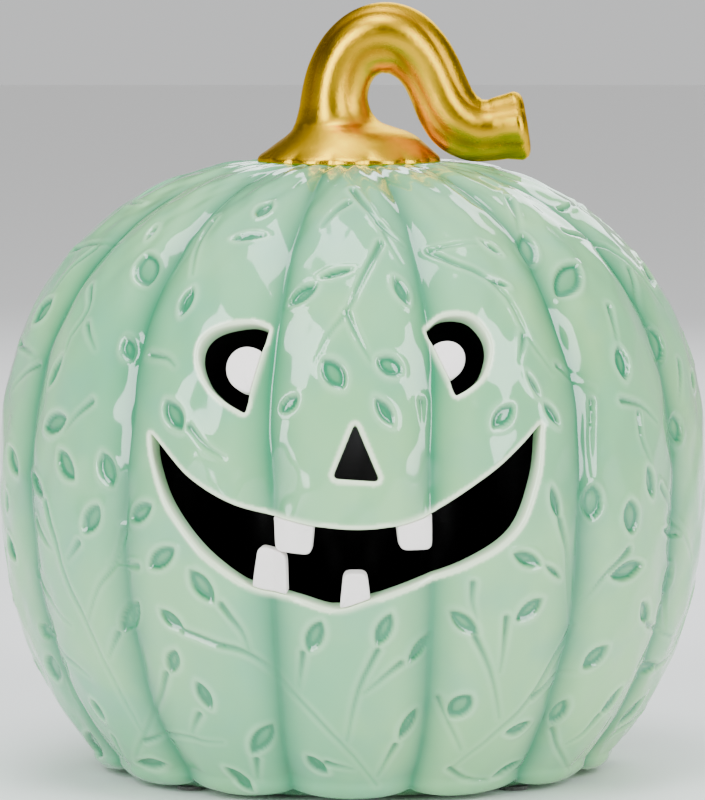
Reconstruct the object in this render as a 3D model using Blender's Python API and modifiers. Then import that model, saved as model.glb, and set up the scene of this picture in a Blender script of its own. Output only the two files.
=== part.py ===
"""Ceramic jack-o'-lantern pumpkin with a gold stem and a pull-out battery light unit.

Metres, +Z up. The origin is on the pumpkin's centre line at the level it stands on, and
the carved face looks along -Y. The shell is a ribbed form of revolution: a superellipse
above the belly, another below it, and a turned foot. The face outlines are drawn in front
view as (x, z) points and cut through the wall along rays from the middle of the pumpkin.
"""
import math

import bmesh
import bpy
from mathutils import Matrix, Vector

# ---- shared fits
GAP = 0.0003             # between pieces that touch
RUN = 0.0003             # round a piece that turns or slides

# ---- pumpkin body
RIBS = 14
BODY_R = 0.1014          # rib crests at the belly
BELLY_Z = 0.085
TOP_RISE = 0.0915        # belly to the crown of the full curve
TOP_POWER = 2.37
BOTTOM_DROP = 0.1083
BOTTOM_POWER = 2.25
SEAT_DROP = 0.0031       # flat under the stem, below the crown of the full curve
GROOVE_DEPTH = 0.0035    # at the belly
GROOVE_SHARPNESS = 0.55
WALL = 0.005
INNER_GROOVE_DEPTH = 0.002
ROOF = 0.0062            # thickness under the stem seat

# ---- foot ring and floor
PAD_T = 0.001
PAD_R = 0.004
PAD_COUNT = 4
FOOT_Z = PAD_T + GAP
FOOT_TURN_Z = 0.0063     # where the side starts to turn under
FOOT_OUTER_R = 0.070
FOOT_INNER_R = 0.057
FLOOR_UNDER_Z = 0.008
FLOOR_T = 0.005

# ---- face, front view (x, z); a third value of 0 marks a sharp corner
MOUTH = [
    (-0.0552, 0.1037, 0), (-0.0440, 0.0920), (-0.0325, 0.0855), (-0.0205, 0.0824),
    (-0.0060, 0.0796), (0.0080, 0.0796), (0.0200, 0.0825), (0.0310, 0.0892),
    (0.0420, 0.0973), (0.0515, 0.1066, 0), (0.0500, 0.0925), (0.0445, 0.0785),
    (0.0330, 0.0703), (0.0175, 0.0643), (0.0050, 0.0602), (-0.0040, 0.0576),
    (-0.0150, 0.0602), (-0.0275, 0.0630), (-0.0405, 0.0723), (-0.0500, 0.0845),
    (-0.0544, 0.0960),
]
NOSE = [(0.0007, 0.1083), (-0.0055, 0.0932), (0.0075, 0.0923)]
NOSE_CORNER_R = 0.0012
EYES = {
    "left": {
        "outline": [
            (-0.0229, 0.1332, 0), (-0.0278, 0.1342), (-0.0361, 0.1323), (-0.0405, 0.1290),
            (-0.0417, 0.1240), (-0.0395, 0.1179), (-0.0350, 0.1135), (-0.0295, 0.1103, 0),
        ],
        "pupil": (-0.0283, 0.1220), "pupil_r": 0.0061,
    },
    "right": {
        "outline": [
            (0.0204, 0.1332, 0), (0.0248, 0.1361), (0.0315, 0.1355), (0.0358, 0.1315),
            (0.0372, 0.1265), (0.0355, 0.1205), (0.0322, 0.1172), (0.0282, 0.1150, 0),
        ],
        "pupil": (0.0254, 0.1247), "pupil_r": 0.0053,
    },
}
TEETH = {
    "upper_left": [(-0.0222, 0.0880), (-0.0214, 0.0740), (-0.0200, 0.0729),
                   (-0.0124, 0.0724), (-0.0113, 0.0735), (-0.0100, 0.0850)],
    "upper_right": [(0.0115, 0.0850), (0.0129, 0.0744), (0.0140, 0.0735),
                    (0.0213, 0.0734), (0.0221, 0.0743), (0.0220, 0.0890)],
    "lower_left": [(-0.0280, 0.0590), (-0.0260, 0.0730), (-0.0251, 0.0741),
                   (-0.0218, 0.0732), (-0.0196, 0.0724), (-0.0184, 0.0711), (-0.0180, 0.0570)],
    "lower_right": [(-0.0038, 0.0540), (-0.0026, 0.0664), (-0.0014, 0.0674),
                    (0.0026, 0.0674), (0.0039, 0.0664), (0.0055, 0.0550)],
}
CUT_NEAR = 0.72          # ray cutters start and end at these shares of the surface's distance
CUT_FAR = 1.22
OUTLINE_STEPS = 3        # straight pieces between two outline points

# ---- stem: its foot is turned, its loop is a tube; heights are above the seat
STEM_X = -0.0024
STEM_FOOT = [(0.0250, 0.0), (0.0246, 0.0014), (0.0212, 0.0046), (0.0172, 0.0073),
             (0.0138, 0.0103), (0.0112, 0.0140), (0.0070, 0.0170)]
STEM_PATH = [            # (x, height, radius)
    (-0.0024, 0.0046, 0.0080), (-0.0047, 0.0126, 0.0104), (-0.0046, 0.0191, 0.0097),
    (-0.0026, 0.0256, 0.0094), (0.0020, 0.0316, 0.0098), (0.0088, 0.0349, 0.0102),
    (0.0161, 0.0328, 0.0097), (0.0222, 0.0261, 0.0088), (0.0256, 0.0191, 0.0085),
    (0.0286, 0.0136, 0.0088), (0.0330, 0.0106, 0.0091), (0.0390, 0.0096, 0.0089),
    (0.0445, 0.0104, 0.0092), (0.0488, 0.0116, 0.0090),
]

# ---- silicone ring that grips the floor's edge and holds the light unit
RING_LIP_T = 0.0015
RING_LIP = 0.003         # over the floor, past the edge of the hole
RING_NECK = 0.0027       # from the case to the edge of the hole

# ---- light unit case, hung in the ring by its flange
CASE_WALL = 0.0016
FLANGE_T = 0.0029
FLANGE_LIP = 0.0042      # under the ring
LID_T = 0.0016
POST_R = 0.0026
POST_X = 0.014
POST_ROOM = 0.0034       # between a post and the bay

# ---- battery bay: three cells side by side, along X
CELL_R = 0.00525
CELL_LENGTH = 0.0445
CELL_NUB_R = 0.0019
CELL_NUB_LENGTH = 0.001
CELL_SPACE = 0.0007      # between two cells
CELL_LIFT = 0.0006       # above the door, clear of its trunnion bar
BAY_HEADROOM = 0.0005
BAY_SIDE = 0.00095
BAY_CORNER_ROOM = 0.0013  # from the bay's corners to the case wall
SPRING_LENGTH = 0.0047
SPRING_WIRE_R = 0.00025
SPRING_TURNS = 3
PLATE_T = 0.0004
PLATE_MARGIN = 0.0008

# ---- door, its trunnions and the finger notch
DOOR_T = 0.0018
TRUNNION_R = 0.0007
TRUNNION_LENGTH = 0.0016
HINGE_IN = 0.0008        # hinge axis, in from the door's edge
HINGE_UP = 0.0014        # hinge axis, above the door's underside
HINGE_SIDE = 0.0012      # extra room where the door's back edge turns
NOTCH_R = 0.004

# ---- switch
KNOB_SIZE = (0.004, 0.0032)
KNOB_DROP = 0.001        # below the case
KNOB_TRAVEL = 0.004
SWITCH_SIZE = (0.011, 0.0066, 0.0045)

# ---- board, light and dome
BOARD_SIZE = (0.040, 0.024, 0.0012)
BOARD_ROOM = 0.0075      # from the board to the rim of the case
CHIP_SIZE = (0.006, 0.005, 0.0014)
LED_R = 0.0025
LED_RISE = 0.0042        # dome of the light above the lid
DOME_R = 0.014
DOME_WALL = 0.0014
DOME_HEIGHT = 0.0148
SCREW_R = 0.0012
SCREW_HEAD_R = 0.0024
SCREW_HEAD_T = 0.0012
SCREW_LENGTH = 0.0075
LEAD_R = 0.0005

# ---- worked out from the sizes above
SEAT_Z = BELLY_Z + TOP_RISE - SEAT_DROP
FLOOR_TOP_Z = FLOOR_UNDER_Z + FLOOR_T
FLANGE_TOP_Z = FLOOR_UNDER_Z - GAP - RING_LIP_T - GAP
CASE_BOTTOM_Z = FLANGE_TOP_Z - FLANGE_T
DOOR_TOP_Z = CASE_BOTTOM_Z + DOOR_T
CELL_Z = DOOR_TOP_Z + CELL_LIFT + CELL_R
CELL_PITCH = 2 * CELL_R + CELL_SPACE
BAY_TOP_Z = CELL_Z + CELL_R + BAY_HEADROOM
BAY_ROOF_Z = BAY_TOP_Z + CASE_WALL
BAY_HALF_Y = CELL_PITCH + CELL_R + BAY_SIDE
CONTACT_ROOM = GAP + PLATE_T
BAY_X1 = (CELL_LENGTH + SPRING_LENGTH + 3 * GAP + 2 * CONTACT_ROOM) / 2
BAY_X0 = -BAY_X1
CASE_R = math.hypot(BAY_X1, BAY_HALF_Y) + BAY_CORNER_ROOM + CASE_WALL
RING_BORE_R = CASE_R + RUN
BASE_HOLE_R = RING_BORE_R + RING_NECK
RING_LIP_R = BASE_HOLE_R + RING_LIP
FLANGE_R = RING_BORE_R + FLANGE_LIP
POST_Y = BAY_HALF_Y + CASE_WALL + POST_ROOM + POST_R
SWITCH_Y = -POST_Y
DOOR_X0 = BAY_X0 + HINGE_SIDE
DOOR_X1 = BAY_X1 - GAP
DOOR_HALF_Y = BAY_HALF_Y - GAP
HINGE_X = DOOR_X0 + HINGE_IN
HINGE_Z = CASE_BOTTOM_Z + HINGE_UP
BOARD_Z = BAY_ROOF_Z + GAP
BOARD_TOP_Z = BOARD_Z + BOARD_SIZE[2]
CASE_TOP_Z = BOARD_TOP_Z + BOARD_ROOM
LID_Z = CASE_TOP_Z + GAP
LID_TOP_Z = LID_Z + LID_T
AIM = Vector((0, 0, BELLY_Z))

COLOURS = {
    "celadon": ((0.40, 0.59, 0.48), 0.12, 0.0),
    "gold": ((0.57, 0.33, 0.05), 0.28, 1.0),
    "bisque": ((0.87, 0.80, 0.77), 0.75, 0.0),
    "silicone": ((0.62, 0.62, 0.60), 0.55, 0.0),
    "felt": ((0.09, 0.09, 0.08), 0.95, 0.0),
    "case": ((0.03, 0.03, 0.03), 0.45, 0.0),
    "cell": ((0.10, 0.28, 0.16), 0.35, 0.2),
    "nickel": ((0.62, 0.60, 0.56), 0.28, 1.0),
    "knob": ((0.75, 0.75, 0.73), 0.4, 0.0),
    "board": ((0.02, 0.16, 0.07), 0.45, 0.0),
    "chip": ((0.02, 0.02, 0.02), 0.5, 0.0),
    "led": ((0.95, 0.80, 0.45), 0.1, 0.0),
    "dome": ((0.90, 0.88, 0.82), 0.5, 0.0),
    "red": ((0.50, 0.02, 0.02), 0.45, 0.0),
    "black": ((0.02, 0.02, 0.02), 0.45, 0.0),
}


# ------------------------------------------------------------------ scene helpers
def clear_scene():
    """Remove every object, so that the script builds the same model each time."""
    for old in list(bpy.data.objects):
        bpy.data.objects.remove(old)


def new_collection(name):
    """Make a collection in the scene."""
    made = bpy.data.collections.new(name)
    bpy.context.scene.collection.children.link(made)
    return made


def material(key):
    """Return the Principled material for one of the COLOURS."""
    found = bpy.data.materials.get(key)
    if found:
        return found
    colour, roughness, metallic = COLOURS[key]
    made = bpy.data.materials.new(key)
    made.use_nodes = True
    shader = made.node_tree.nodes["Principled BSDF"]
    shader.inputs["Base Color"].default_value = (*colour, 1)
    shader.inputs["Roughness"].default_value = roughness
    shader.inputs["Metallic"].default_value = metallic
    return made


def add_object(name, data, key=None):
    """Link a mesh or curve as a part with a colour, or as a cutter without one."""
    made = bpy.data.objects.new(name, data)
    if key:
        data.materials.append(material(key))
        PARTS.objects.link(made)
    else:
        made.hide_render = True
        made.display_type = "WIRE"
        CUTTERS.objects.link(made)
    return made


def finish_mesh(name, bm, key=None, smooth=True):
    """Turn a bmesh into an object with sharp edges kept sharp."""
    bmesh.ops.recalc_face_normals(bm, faces=bm.faces)
    mesh = bpy.data.meshes.new(name)
    bm.to_mesh(mesh)
    bm.free()
    if smooth:
        mesh.shade_smooth()
        mesh.set_sharp_from_angle(angle=math.radians(40))
    return add_object(name, mesh, key)


def boolean(target, other, operation="DIFFERENCE"):
    """Add an exact Boolean modifier."""
    modifier = target.modifiers.new(other.name, "BOOLEAN")
    modifier.operation = operation
    modifier.solver = "EXACT"
    modifier.object = other
    return target


def bevel(target, width):
    """Break the sharp edges of a piece."""
    modifier = target.modifiers.new("edges", "BEVEL")
    modifier.width = width
    modifier.segments = 1
    modifier.limit_method = "ANGLE"
    return target


def put_origin(target, place):
    """Move a piece's origin without moving the piece."""
    target.data.transform(Matrix.Translation(-Vector(place)))
    target.location = place
    return target


def add_empty(name, place):
    """Add the empty that a joint's pieces hang from."""
    made = bpy.data.objects.new(name, None)
    made.location = place
    PARTS.objects.link(made)
    return made


def hang(pieces, empty):
    """Parent pieces to an empty where they stand."""
    bpy.context.view_layer.update()
    for piece in pieces:
        piece.parent = empty
        piece.matrix_parent_inverse = empty.matrix_world.inverted()


# ------------------------------------------------------------------ plain shapes
def box(name, low, high, key=None):
    """A box between two corners."""
    low, high = Vector(low), Vector(high)
    bm = bmesh.new()
    bmesh.ops.create_cube(bm, size=1)
    bmesh.ops.scale(bm, vec=high - low, verts=bm.verts)
    bmesh.ops.translate(bm, vec=(low + high) / 2, verts=bm.verts)
    return finish_mesh(name, bm, key, smooth=False)


def cylinder(name, centre, radius, low, high, key=None, segments=16, along="Z"):
    """A round bar about a point of its axis, from low to high along Z or Y."""
    turn = Matrix.Rotation(-math.pi / 2 if along == "Y" else 0, 4, "X")
    bm = bmesh.new()
    bmesh.ops.create_cone(bm, cap_ends=True, segments=segments, radius1=radius, radius2=radius,
                          depth=high - low)
    bmesh.ops.translate(bm, vec=(0, 0, (low + high) / 2), verts=bm.verts)
    bmesh.ops.transform(bm, matrix=Matrix.Translation(centre) @ turn, verts=bm.verts)
    return finish_mesh(name, bm, key)


def turned(name, profile, steps, key=None, closed=False, centre=(0, 0, 0)):
    """Turn an (r, z) profile about Z; its outer side runs from top to bottom."""
    bm = bmesh.new()
    points = [bm.verts.new((r, 0, z)) for r, z in profile]
    for start, end in zip(points, points[1:] + points[:1] if closed else points[1:]):
        bm.edges.new((start, end))
    mesh = bpy.data.meshes.new(name)
    bm.to_mesh(mesh)
    bm.free()
    made = add_object(name, mesh, key)
    made.location = centre
    screw = made.modifiers.new("turn", "SCREW")
    screw.steps = steps
    screw.render_steps = steps
    screw.use_merge_vertices = True
    screw.merge_threshold = 0.00001
    screw.use_smooth_shade = True
    return made


def tube(name, points, radius, key=None, sides=2, radii=None, smooth=0):
    """A round tube along points; smooth > 0 bends it through them with that resolution."""
    curve = bpy.data.curves.new(name, "CURVE")
    curve.dimensions = "3D"
    curve.bevel_depth = radius
    curve.bevel_resolution = sides
    curve.use_fill_caps = True
    spline = curve.splines.new("BEZIER" if smooth else "POLY")
    spots = spline.bezier_points if smooth else spline.points
    spots.add(len(points) - 1)
    for index, (spot, point) in enumerate(zip(spots, points)):
        spot.co = point if smooth else (*point, 1)
        spot.radius = radii[index] if radii else 1.0
        if smooth:
            spot.handle_left_type = spot.handle_right_type = "AUTO"
    if smooth:
        curve.resolution_u = smooth
        curve.render_resolution_u = smooth
    return add_object(name, curve, key)


def curve_to_mesh(curve_object, key=None):
    """Swap a curve object for a welded mesh object of the same name."""
    bpy.context.view_layer.update()
    graph = bpy.context.evaluated_depsgraph_get()
    mesh = bpy.data.meshes.new_from_object(curve_object.evaluated_get(graph))
    name, place = curve_object.name, curve_object.matrix_world.copy()
    bpy.data.objects.remove(curve_object)
    bm = bmesh.new()
    bm.from_mesh(mesh)
    bpy.data.meshes.remove(mesh)
    bmesh.ops.remove_doubles(bm, verts=bm.verts, dist=0.000001)
    made = finish_mesh(name, bm, key)
    made.matrix_world = place
    return made


# ------------------------------------------------------------------ pumpkin surface
def crest_point(angle):
    """(r, z) on the crest curve; 0 is the belly, +90 degrees the crown, -90 the bottom."""
    rise, power = (TOP_RISE, TOP_POWER) if angle > 0 else (-BOTTOM_DROP, BOTTOM_POWER)
    share = 2 / power
    return (BODY_R * math.cos(angle) ** share,
            BELLY_Z + rise * abs(math.sin(angle)) ** share)


def crest_angle(z):
    """The crest curve's angle at a height."""
    rise, power = (TOP_RISE, TOP_POWER) if z > BELLY_Z else (-BOTTOM_DROP, BOTTOM_POWER)
    return math.copysign(math.asin(((z - BELLY_Z) / rise) ** (power / 2)), z - BELLY_Z)


def rib_dip(x, y):
    """0 on a rib's crest, 1 in the groove between two ribs."""
    around = math.atan2(x, -y)
    return 1 - abs(math.cos(RIBS / 2 * around)) ** GROOVE_SHARPNESS


def ribbed_form(name, rings, columns, depth, key=None):
    """A sphere whose rings are set to (r, z) values and pressed in along the grooves."""
    bm = bmesh.new()
    bmesh.ops.create_uvsphere(bm, u_segments=columns, v_segments=len(rings) - 1, radius=1)
    for vert in bm.verts:
        polar = math.acos(max(-1, min(1, vert.co.z)))
        radius, height = rings[round(polar / math.pi * (len(rings) - 1))]
        flat = Vector((vert.co.x, vert.co.y, 0))
        if flat.length < 1e-6 or radius == 0:
            vert.co = (0, 0, height)
            continue
        pressed = radius - depth * math.sqrt(radius / BODY_R) * rib_dip(flat.x, flat.y)
        vert.co = flat.normalized() * pressed + Vector((0, 0, height))
    return finish_mesh(name, bm, key)


def outer_rings(count=17, turn_steps=3):
    """Rings of the outside, from the stem seat down the side and round the foot."""
    top, low = crest_angle(SEAT_Z), crest_angle(FOOT_TURN_Z)
    side = [crest_point(top + (low - top) * i / (count - 1)) for i in range(count)]
    turn_r = side[-1][0] - FOOT_OUTER_R
    turn_h = FOOT_TURN_Z - FOOT_Z
    foot = []
    for i in range(1, turn_steps + 1):
        bend = math.pi / 2 * i / turn_steps
        foot.append((FOOT_OUTER_R + turn_r * math.cos(bend), FOOT_TURN_Z - turn_h * math.sin(bend)))
    return [(0, SEAT_Z)] + side + foot + [(0, FOOT_Z)]


def inner_rings(count=12):
    """Rings of the hollow: the side less the wall, between the roof and the floor."""
    top, low = crest_angle(SEAT_Z - ROOF), crest_angle(FLOOR_TOP_Z)
    side = [crest_point(top + (low - top) * i / (count - 1)) for i in range(count)]
    side = [(r - WALL, z) for r, z in side]
    return [(0, SEAT_Z - ROOF)] + side + [(0, FLOOR_TOP_Z)]


# ------------------------------------------------------------------ face outlines
def smooth_outline(points, steps=OUTLINE_STEPS):
    """A closed curve through the points, straight into and out of those marked sharp."""
    count = len(points)
    spots = [Vector(point[:2]) for point in points]
    sharp = [len(point) == 3 for point in points]
    made = []
    for i in range(count):
        here, after = spots[i], spots[(i + 1) % count]
        before, beyond = spots[i - 1], spots[(i + 2) % count]
        leave = after - here if sharp[i] else (after - before) / 2
        arrive = after - here if sharp[(i + 1) % count] else (beyond - here) / 2
        for step in range(steps):
            t = step / steps
            made.append(here * (2 * t**3 - 3 * t**2 + 1) + leave * (t**3 - 2 * t**2 + t)
                        + after * (3 * t**2 - 2 * t**3) + arrive * (t**3 - t**2))
    return made


def rounded_polygon(points, radius, steps=4):
    """A polygon whose corners are arcs of the given radius."""
    spots = [Vector(point) for point in points]
    made = []
    for i, corner in enumerate(spots):
        back = (spots[i - 1] - corner).normalized()
        ahead = (spots[(i + 1) % len(spots)] - corner).normalized()
        half = math.acos(back.dot(ahead)) / 2
        centre = corner + (back + ahead).normalized() * radius / math.sin(half)
        start = corner + back * radius / math.tan(half) - centre
        end = corner + ahead * radius / math.tan(half) - centre
        sweep = start.angle_signed(end)
        for step in range(steps + 1):
            turn = Matrix.Rotation(-sweep * step / steps, 2)
            made.append(centre + turn @ start)
    return made


def circle_outline(centre, radius, count=20):
    """A circle in front view."""
    turns = [2 * math.pi * i / count for i in range(count)]
    return [Vector((centre[0] + radius * math.cos(a), centre[1] + radius * math.sin(a)))
            for a in turns]


def inset_outline(outline, distance):
    """Move every point of a closed outline inward by a distance."""
    count = len(outline)
    area = sum(outline[i - 1].x * outline[i].y - outline[i].x * outline[i - 1].y
               for i in range(count))
    side = 1 if area > 0 else -1
    made = []
    for i in range(count):
        along = (outline[(i + 1) % count] - outline[i - 1]).normalized()
        made.append(outline[i] + side * distance * Vector((-along.y, along.x)))
    return made


def ray_cutter(name, outline):
    """Push a flat outline through the wall along rays from the middle of the pumpkin."""
    curve = bpy.data.curves.new(name, "CURVE")
    curve.dimensions = "2D"
    curve.fill_mode = "BOTH"
    curve.extrude = 0.5
    spline = curve.splines.new("POLY")
    spline.points.add(len(outline) - 1)
    for spot, point in zip(spline.points, outline):
        spot.co = (point.x, point.y, 0, 1)
    spline.use_cyclic_u = True
    flat = curve_to_mesh(add_object(name, curve))
    for vert in flat.data.vertices:
        x, z, side = vert.co
        radius = crest_point(crest_angle(z))[0]
        surface = Vector((x, -math.sqrt(radius**2 - x**2), z))
        share = CUT_FAR if side > 0 else CUT_NEAR
        vert.co = AIM + (surface - AIM) * share
    bm = bmesh.new()
    bm.from_mesh(flat.data)
    bmesh.ops.recalc_face_normals(bm, faces=bm.faces)
    bm.to_mesh(flat.data)
    bm.free()
    return flat


def wall_piece(name, outline, key, forms, trims=()):
    """A piece of the wall inside an outline, trimmed by further ray cutters."""
    piece = ray_cutter(name, outline)
    CUTTERS.objects.unlink(piece)
    PARTS.objects.link(piece)
    piece.hide_render = False
    piece.display_type = "TEXTURED"
    piece.data.materials.append(material(key))
    boolean(piece, forms["outside"], "INTERSECT")
    boolean(piece, forms["hollow"])
    for trim in trims:
        boolean(piece, trim, "INTERSECT")
    return piece


# ------------------------------------------------------------------ pumpkin pieces
def build_forms():
    """The outside and the hollow, as cutters that the wall's pieces share."""
    return {
        "outside": ribbed_form("outside_form", outer_rings(), RIBS * 6, GROOVE_DEPTH),
        "hollow": ribbed_form("hollow_form", inner_rings(), RIBS * 4, INNER_GROOVE_DEPTH),
    }


def build_shell(forms):
    """The ribbed ceramic shell with its foot, base hole and carved face."""
    shell = ribbed_form("pumpkin_shell", outer_rings(), RIBS * 6, GROOVE_DEPTH, "celadon")
    boolean(shell, forms["hollow"])
    under = cylinder("foot_recess", (0, 0, 0), FOOT_INNER_R, -0.01, FLOOR_UNDER_Z, segments=64)
    hole = cylinder("base_hole", (0, 0, 0), BASE_HOLE_R, -0.01, FLOOR_TOP_Z + 0.01, segments=64)
    boolean(shell, under)
    boolean(shell, hole)
    boolean(shell, ray_cutter("mouth_cut", smooth_outline(MOUTH)))
    boolean(shell, ray_cutter("nose_cut", rounded_polygon(NOSE, NOSE_CORNER_R)))
    for side, eye in EYES.items():
        boolean(shell, ray_cutter(side + "_eye_cut", smooth_outline(eye["outline"])))
        socket = circle_outline(eye["pupil"], eye["pupil_r"] + GAP)
        boolean(shell, ray_cutter(side + "_pupil_socket", socket))
    return shell


def build_face(forms):
    """The two pupils in their sockets and the four teeth on the lips."""
    for side, eye in EYES.items():
        wall_piece(side + "_pupil", circle_outline(eye["pupil"], eye["pupil_r"]), "bisque", forms)
    lips = ray_cutter("lip_line", inset_outline(smooth_outline(MOUTH), GAP))
    for place, outline in TEETH.items():
        points = [Vector(point) for point in outline]
        wall_piece(place + "_tooth", points, "bisque", forms, [lips])


def build_stem():
    """The gold stem: a turned foot on the seat and a looped, flat-cut stalk."""
    base_z = SEAT_Z + GAP
    rise = [(r, base_z + z) for r, z in reversed(STEM_FOOT)]
    profile = [(0, rise[0][1])] + rise + [(0, base_z)]
    stem = turned("stem", profile, 28, "gold", centre=(STEM_X, 0, 0))
    points = [(x, 0, SEAT_Z + height) for x, height, _ in STEM_PATH]
    radii = [r for _, _, r in STEM_PATH]
    loop = curve_to_mesh(tube("stem_loop", points, 1.0, sides=4, radii=radii, smooth=3))
    return boolean(stem, loop, "UNION")


def build_pads():
    """Round pads under the foot ring."""
    middle = (FOOT_INNER_R + FOOT_OUTER_R) / 2
    for i in range(PAD_COUNT):
        turn = 2 * math.pi * (i + 0.5) / PAD_COUNT
        spot = (middle * math.cos(turn), middle * math.sin(turn), 0)
        cylinder(f"foot_pad_{i + 1}", spot, PAD_R, 0, PAD_T, "felt", 20)


def build_ring():
    """The silicone ring, grooved to grip the edge of the base hole."""
    top, low = FLOOR_TOP_Z + GAP, FLOOR_UNDER_Z - GAP
    neck = BASE_HOLE_R - GAP
    profile = [
        (RING_BORE_R, top + RING_LIP_T), (RING_LIP_R, top + RING_LIP_T), (RING_LIP_R, top),
        (neck, top), (neck, low), (RING_LIP_R, low), (RING_LIP_R, low - RING_LIP_T),
        (RING_BORE_R, low - RING_LIP_T),
    ]
    return turned("retaining_ring", profile, 64, "silicone", closed=True)


# ------------------------------------------------------------------ light unit
def cell_rows():
    """(y, direction) of the cells; direction +1 has the nub at +X."""
    return [(-CELL_PITCH, 1), (0.0, -1), (CELL_PITCH, 1)]


def post_places():
    """The four screw posts."""
    return [(x, y) for x in (-POST_X, POST_X) for y in (-POST_Y, POST_Y)]


def lead_ends():
    """Each lead's name, the side of the bay it leaves (+1 or -1) and its y."""
    return [("battery_lead_red", 1, -CELL_PITCH), ("battery_lead_black", -1, CELL_PITCH)]


def build_case():
    """The cup-shaped case: flange, wall, battery bay, screw posts and switch slot."""
    inner = CASE_R - CASE_WALL
    profile = [
        (0, FLANGE_TOP_Z), (inner, FLANGE_TOP_Z), (inner, CASE_TOP_Z), (CASE_R, CASE_TOP_Z),
        (CASE_R, FLANGE_TOP_Z), (FLANGE_R, FLANGE_TOP_Z), (FLANGE_R, CASE_BOTTOM_Z),
        (0, CASE_BOTTOM_Z),
    ]
    case = turned("light_case", profile, 64, "case")
    outside = box("bay_outside", (BAY_X0 - CASE_WALL, -BAY_HALF_Y - CASE_WALL, FLANGE_TOP_Z - 0.001),
                  (BAY_X1 + CASE_WALL, BAY_HALF_Y + CASE_WALL, BAY_ROOF_Z))
    boolean(case, outside, "UNION")
    for i, (x, y) in enumerate(post_places()):
        post = cylinder(f"post_{i}", (x, y, 0), POST_R, FLANGE_TOP_Z - 0.001, CASE_TOP_Z)
        boolean(case, post, "UNION")
        bore = cylinder(f"post_bore_{i}", (x, y, 0), SCREW_R + GAP,
                        CASE_TOP_Z - SCREW_LENGTH, CASE_TOP_Z + 0.01)
        boolean(case, bore)
    for cutter in case_cutters():
        boolean(case, cutter)
    return case


def case_cutters():
    """Bay, trunnion sockets, finger notch, switch slot and lead holes."""
    reach = DOOR_HALF_Y + TRUNNION_LENGTH + RUN
    slot_x = (KNOB_SIZE[0] + KNOB_TRAVEL) / 2 + RUN
    slot_y = KNOB_SIZE[1] / 2 + RUN
    below = CASE_BOTTOM_Z - 0.001
    cutters = [
        box("bay_cut", (BAY_X0, -BAY_HALF_Y, below), (BAY_X1, BAY_HALF_Y, BAY_TOP_Z)),
        cylinder("hinge_sockets", (HINGE_X, 0, HINGE_Z), TRUNNION_R + RUN, -reach, reach,
                 along="Y"),
        cylinder("finger_notch", (BAY_X1, 0, 0), NOTCH_R, below, DOOR_TOP_Z),
        box("switch_slot", (-slot_x, SWITCH_Y - slot_y, below),
            (slot_x, SWITCH_Y + slot_y, FLANGE_TOP_Z + 0.001)),
    ]
    for name, side, y in lead_ends():
        centre = (side * (BAY_X1 - GAP - PLATE_T / 2), y, 0)
        cutters.append(cylinder(name + "_hole", centre, LEAD_R + RUN, BAY_TOP_Z - 0.001,
                                BAY_ROOF_Z + 0.001))
    return cutters


def build_door():
    """The battery door, hung on two trunnions along its back edge."""
    door = box("battery_door", (DOOR_X0, -DOOR_HALF_Y, CASE_BOTTOM_Z),
               (DOOR_X1, DOOR_HALF_Y, DOOR_TOP_Z), "case")
    reach = DOOR_HALF_Y + TRUNNION_LENGTH
    pin = cylinder("trunnions", (HINGE_X, 0, HINGE_Z), TRUNNION_R, -reach, reach, along="Y")
    boolean(door, pin, "UNION")
    return put_origin(door, (HINGE_X, 0, HINGE_Z))


def build_cells():
    """Three cells, the middle one the other way round."""
    half = CELL_LENGTH / 2
    shoulder = half - CELL_NUB_LENGTH
    profile = [(0, half), (CELL_NUB_R, half), (CELL_NUB_R, shoulder), (CELL_R, shoulder),
               (CELL_R, -half), (0, -half)]
    made = []
    for i, (y, way) in enumerate(cell_rows()):
        middle = way * (BAY_X1 - CONTACT_ROOM - GAP - half)
        cell = turned(f"battery_{i + 1}", profile, 24, "cell", centre=(middle, y, CELL_Z))
        cell.rotation_euler = (0, way * math.pi / 2, 0)
        made.append(cell)
    return made


def build_springs():
    """A coil spring at the flat end of each cell."""
    made = []
    for i, (y, way) in enumerate(cell_rows()):
        outer = BAY_X1 - CONTACT_ROOM - GAP - SPRING_WIRE_R
        run = SPRING_LENGTH - 2 * SPRING_WIRE_R
        count = SPRING_TURNS * 9
        points = []
        for step in range(count + 1):
            share = step / count
            turn = 2 * math.pi * SPRING_TURNS * share
            radius = CELL_R * (0.75 - 0.35 * share)
            points.append((-way * (outer - run * share), y + radius * math.cos(turn),
                           CELL_Z + radius * math.sin(turn)))
        made.append(tube(f"contact_spring_{i + 1}", points, SPRING_WIRE_R, "nickel", sides=1))
    return made


def build_plates():
    """Contact plates: a tab and a bridge at each end, joining the cells in series."""
    reach = CELL_PITCH / 2 - PLATE_MARGIN / 2
    edge = CELL_PITCH + CELL_R - PLATE_MARGIN
    low, high = CELL_Z - CELL_R * 0.75, BAY_TOP_Z - GAP
    spans = [
        ("contact_tab_right", 1, -edge, -reach - PLATE_MARGIN),
        ("contact_bridge_right", 1, -reach, edge),
        ("contact_bridge_left", -1, -edge, reach),
        ("contact_tab_left", -1, reach + PLATE_MARGIN, edge),
    ]
    made = []
    for name, side, y0, y1 in spans:
        near, far = sorted((side * (BAY_X1 - GAP), side * (BAY_X1 - CONTACT_ROOM)))
        made.append(box(name, (near, y0, low), (far, y1, high), "nickel"))
    return made


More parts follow.
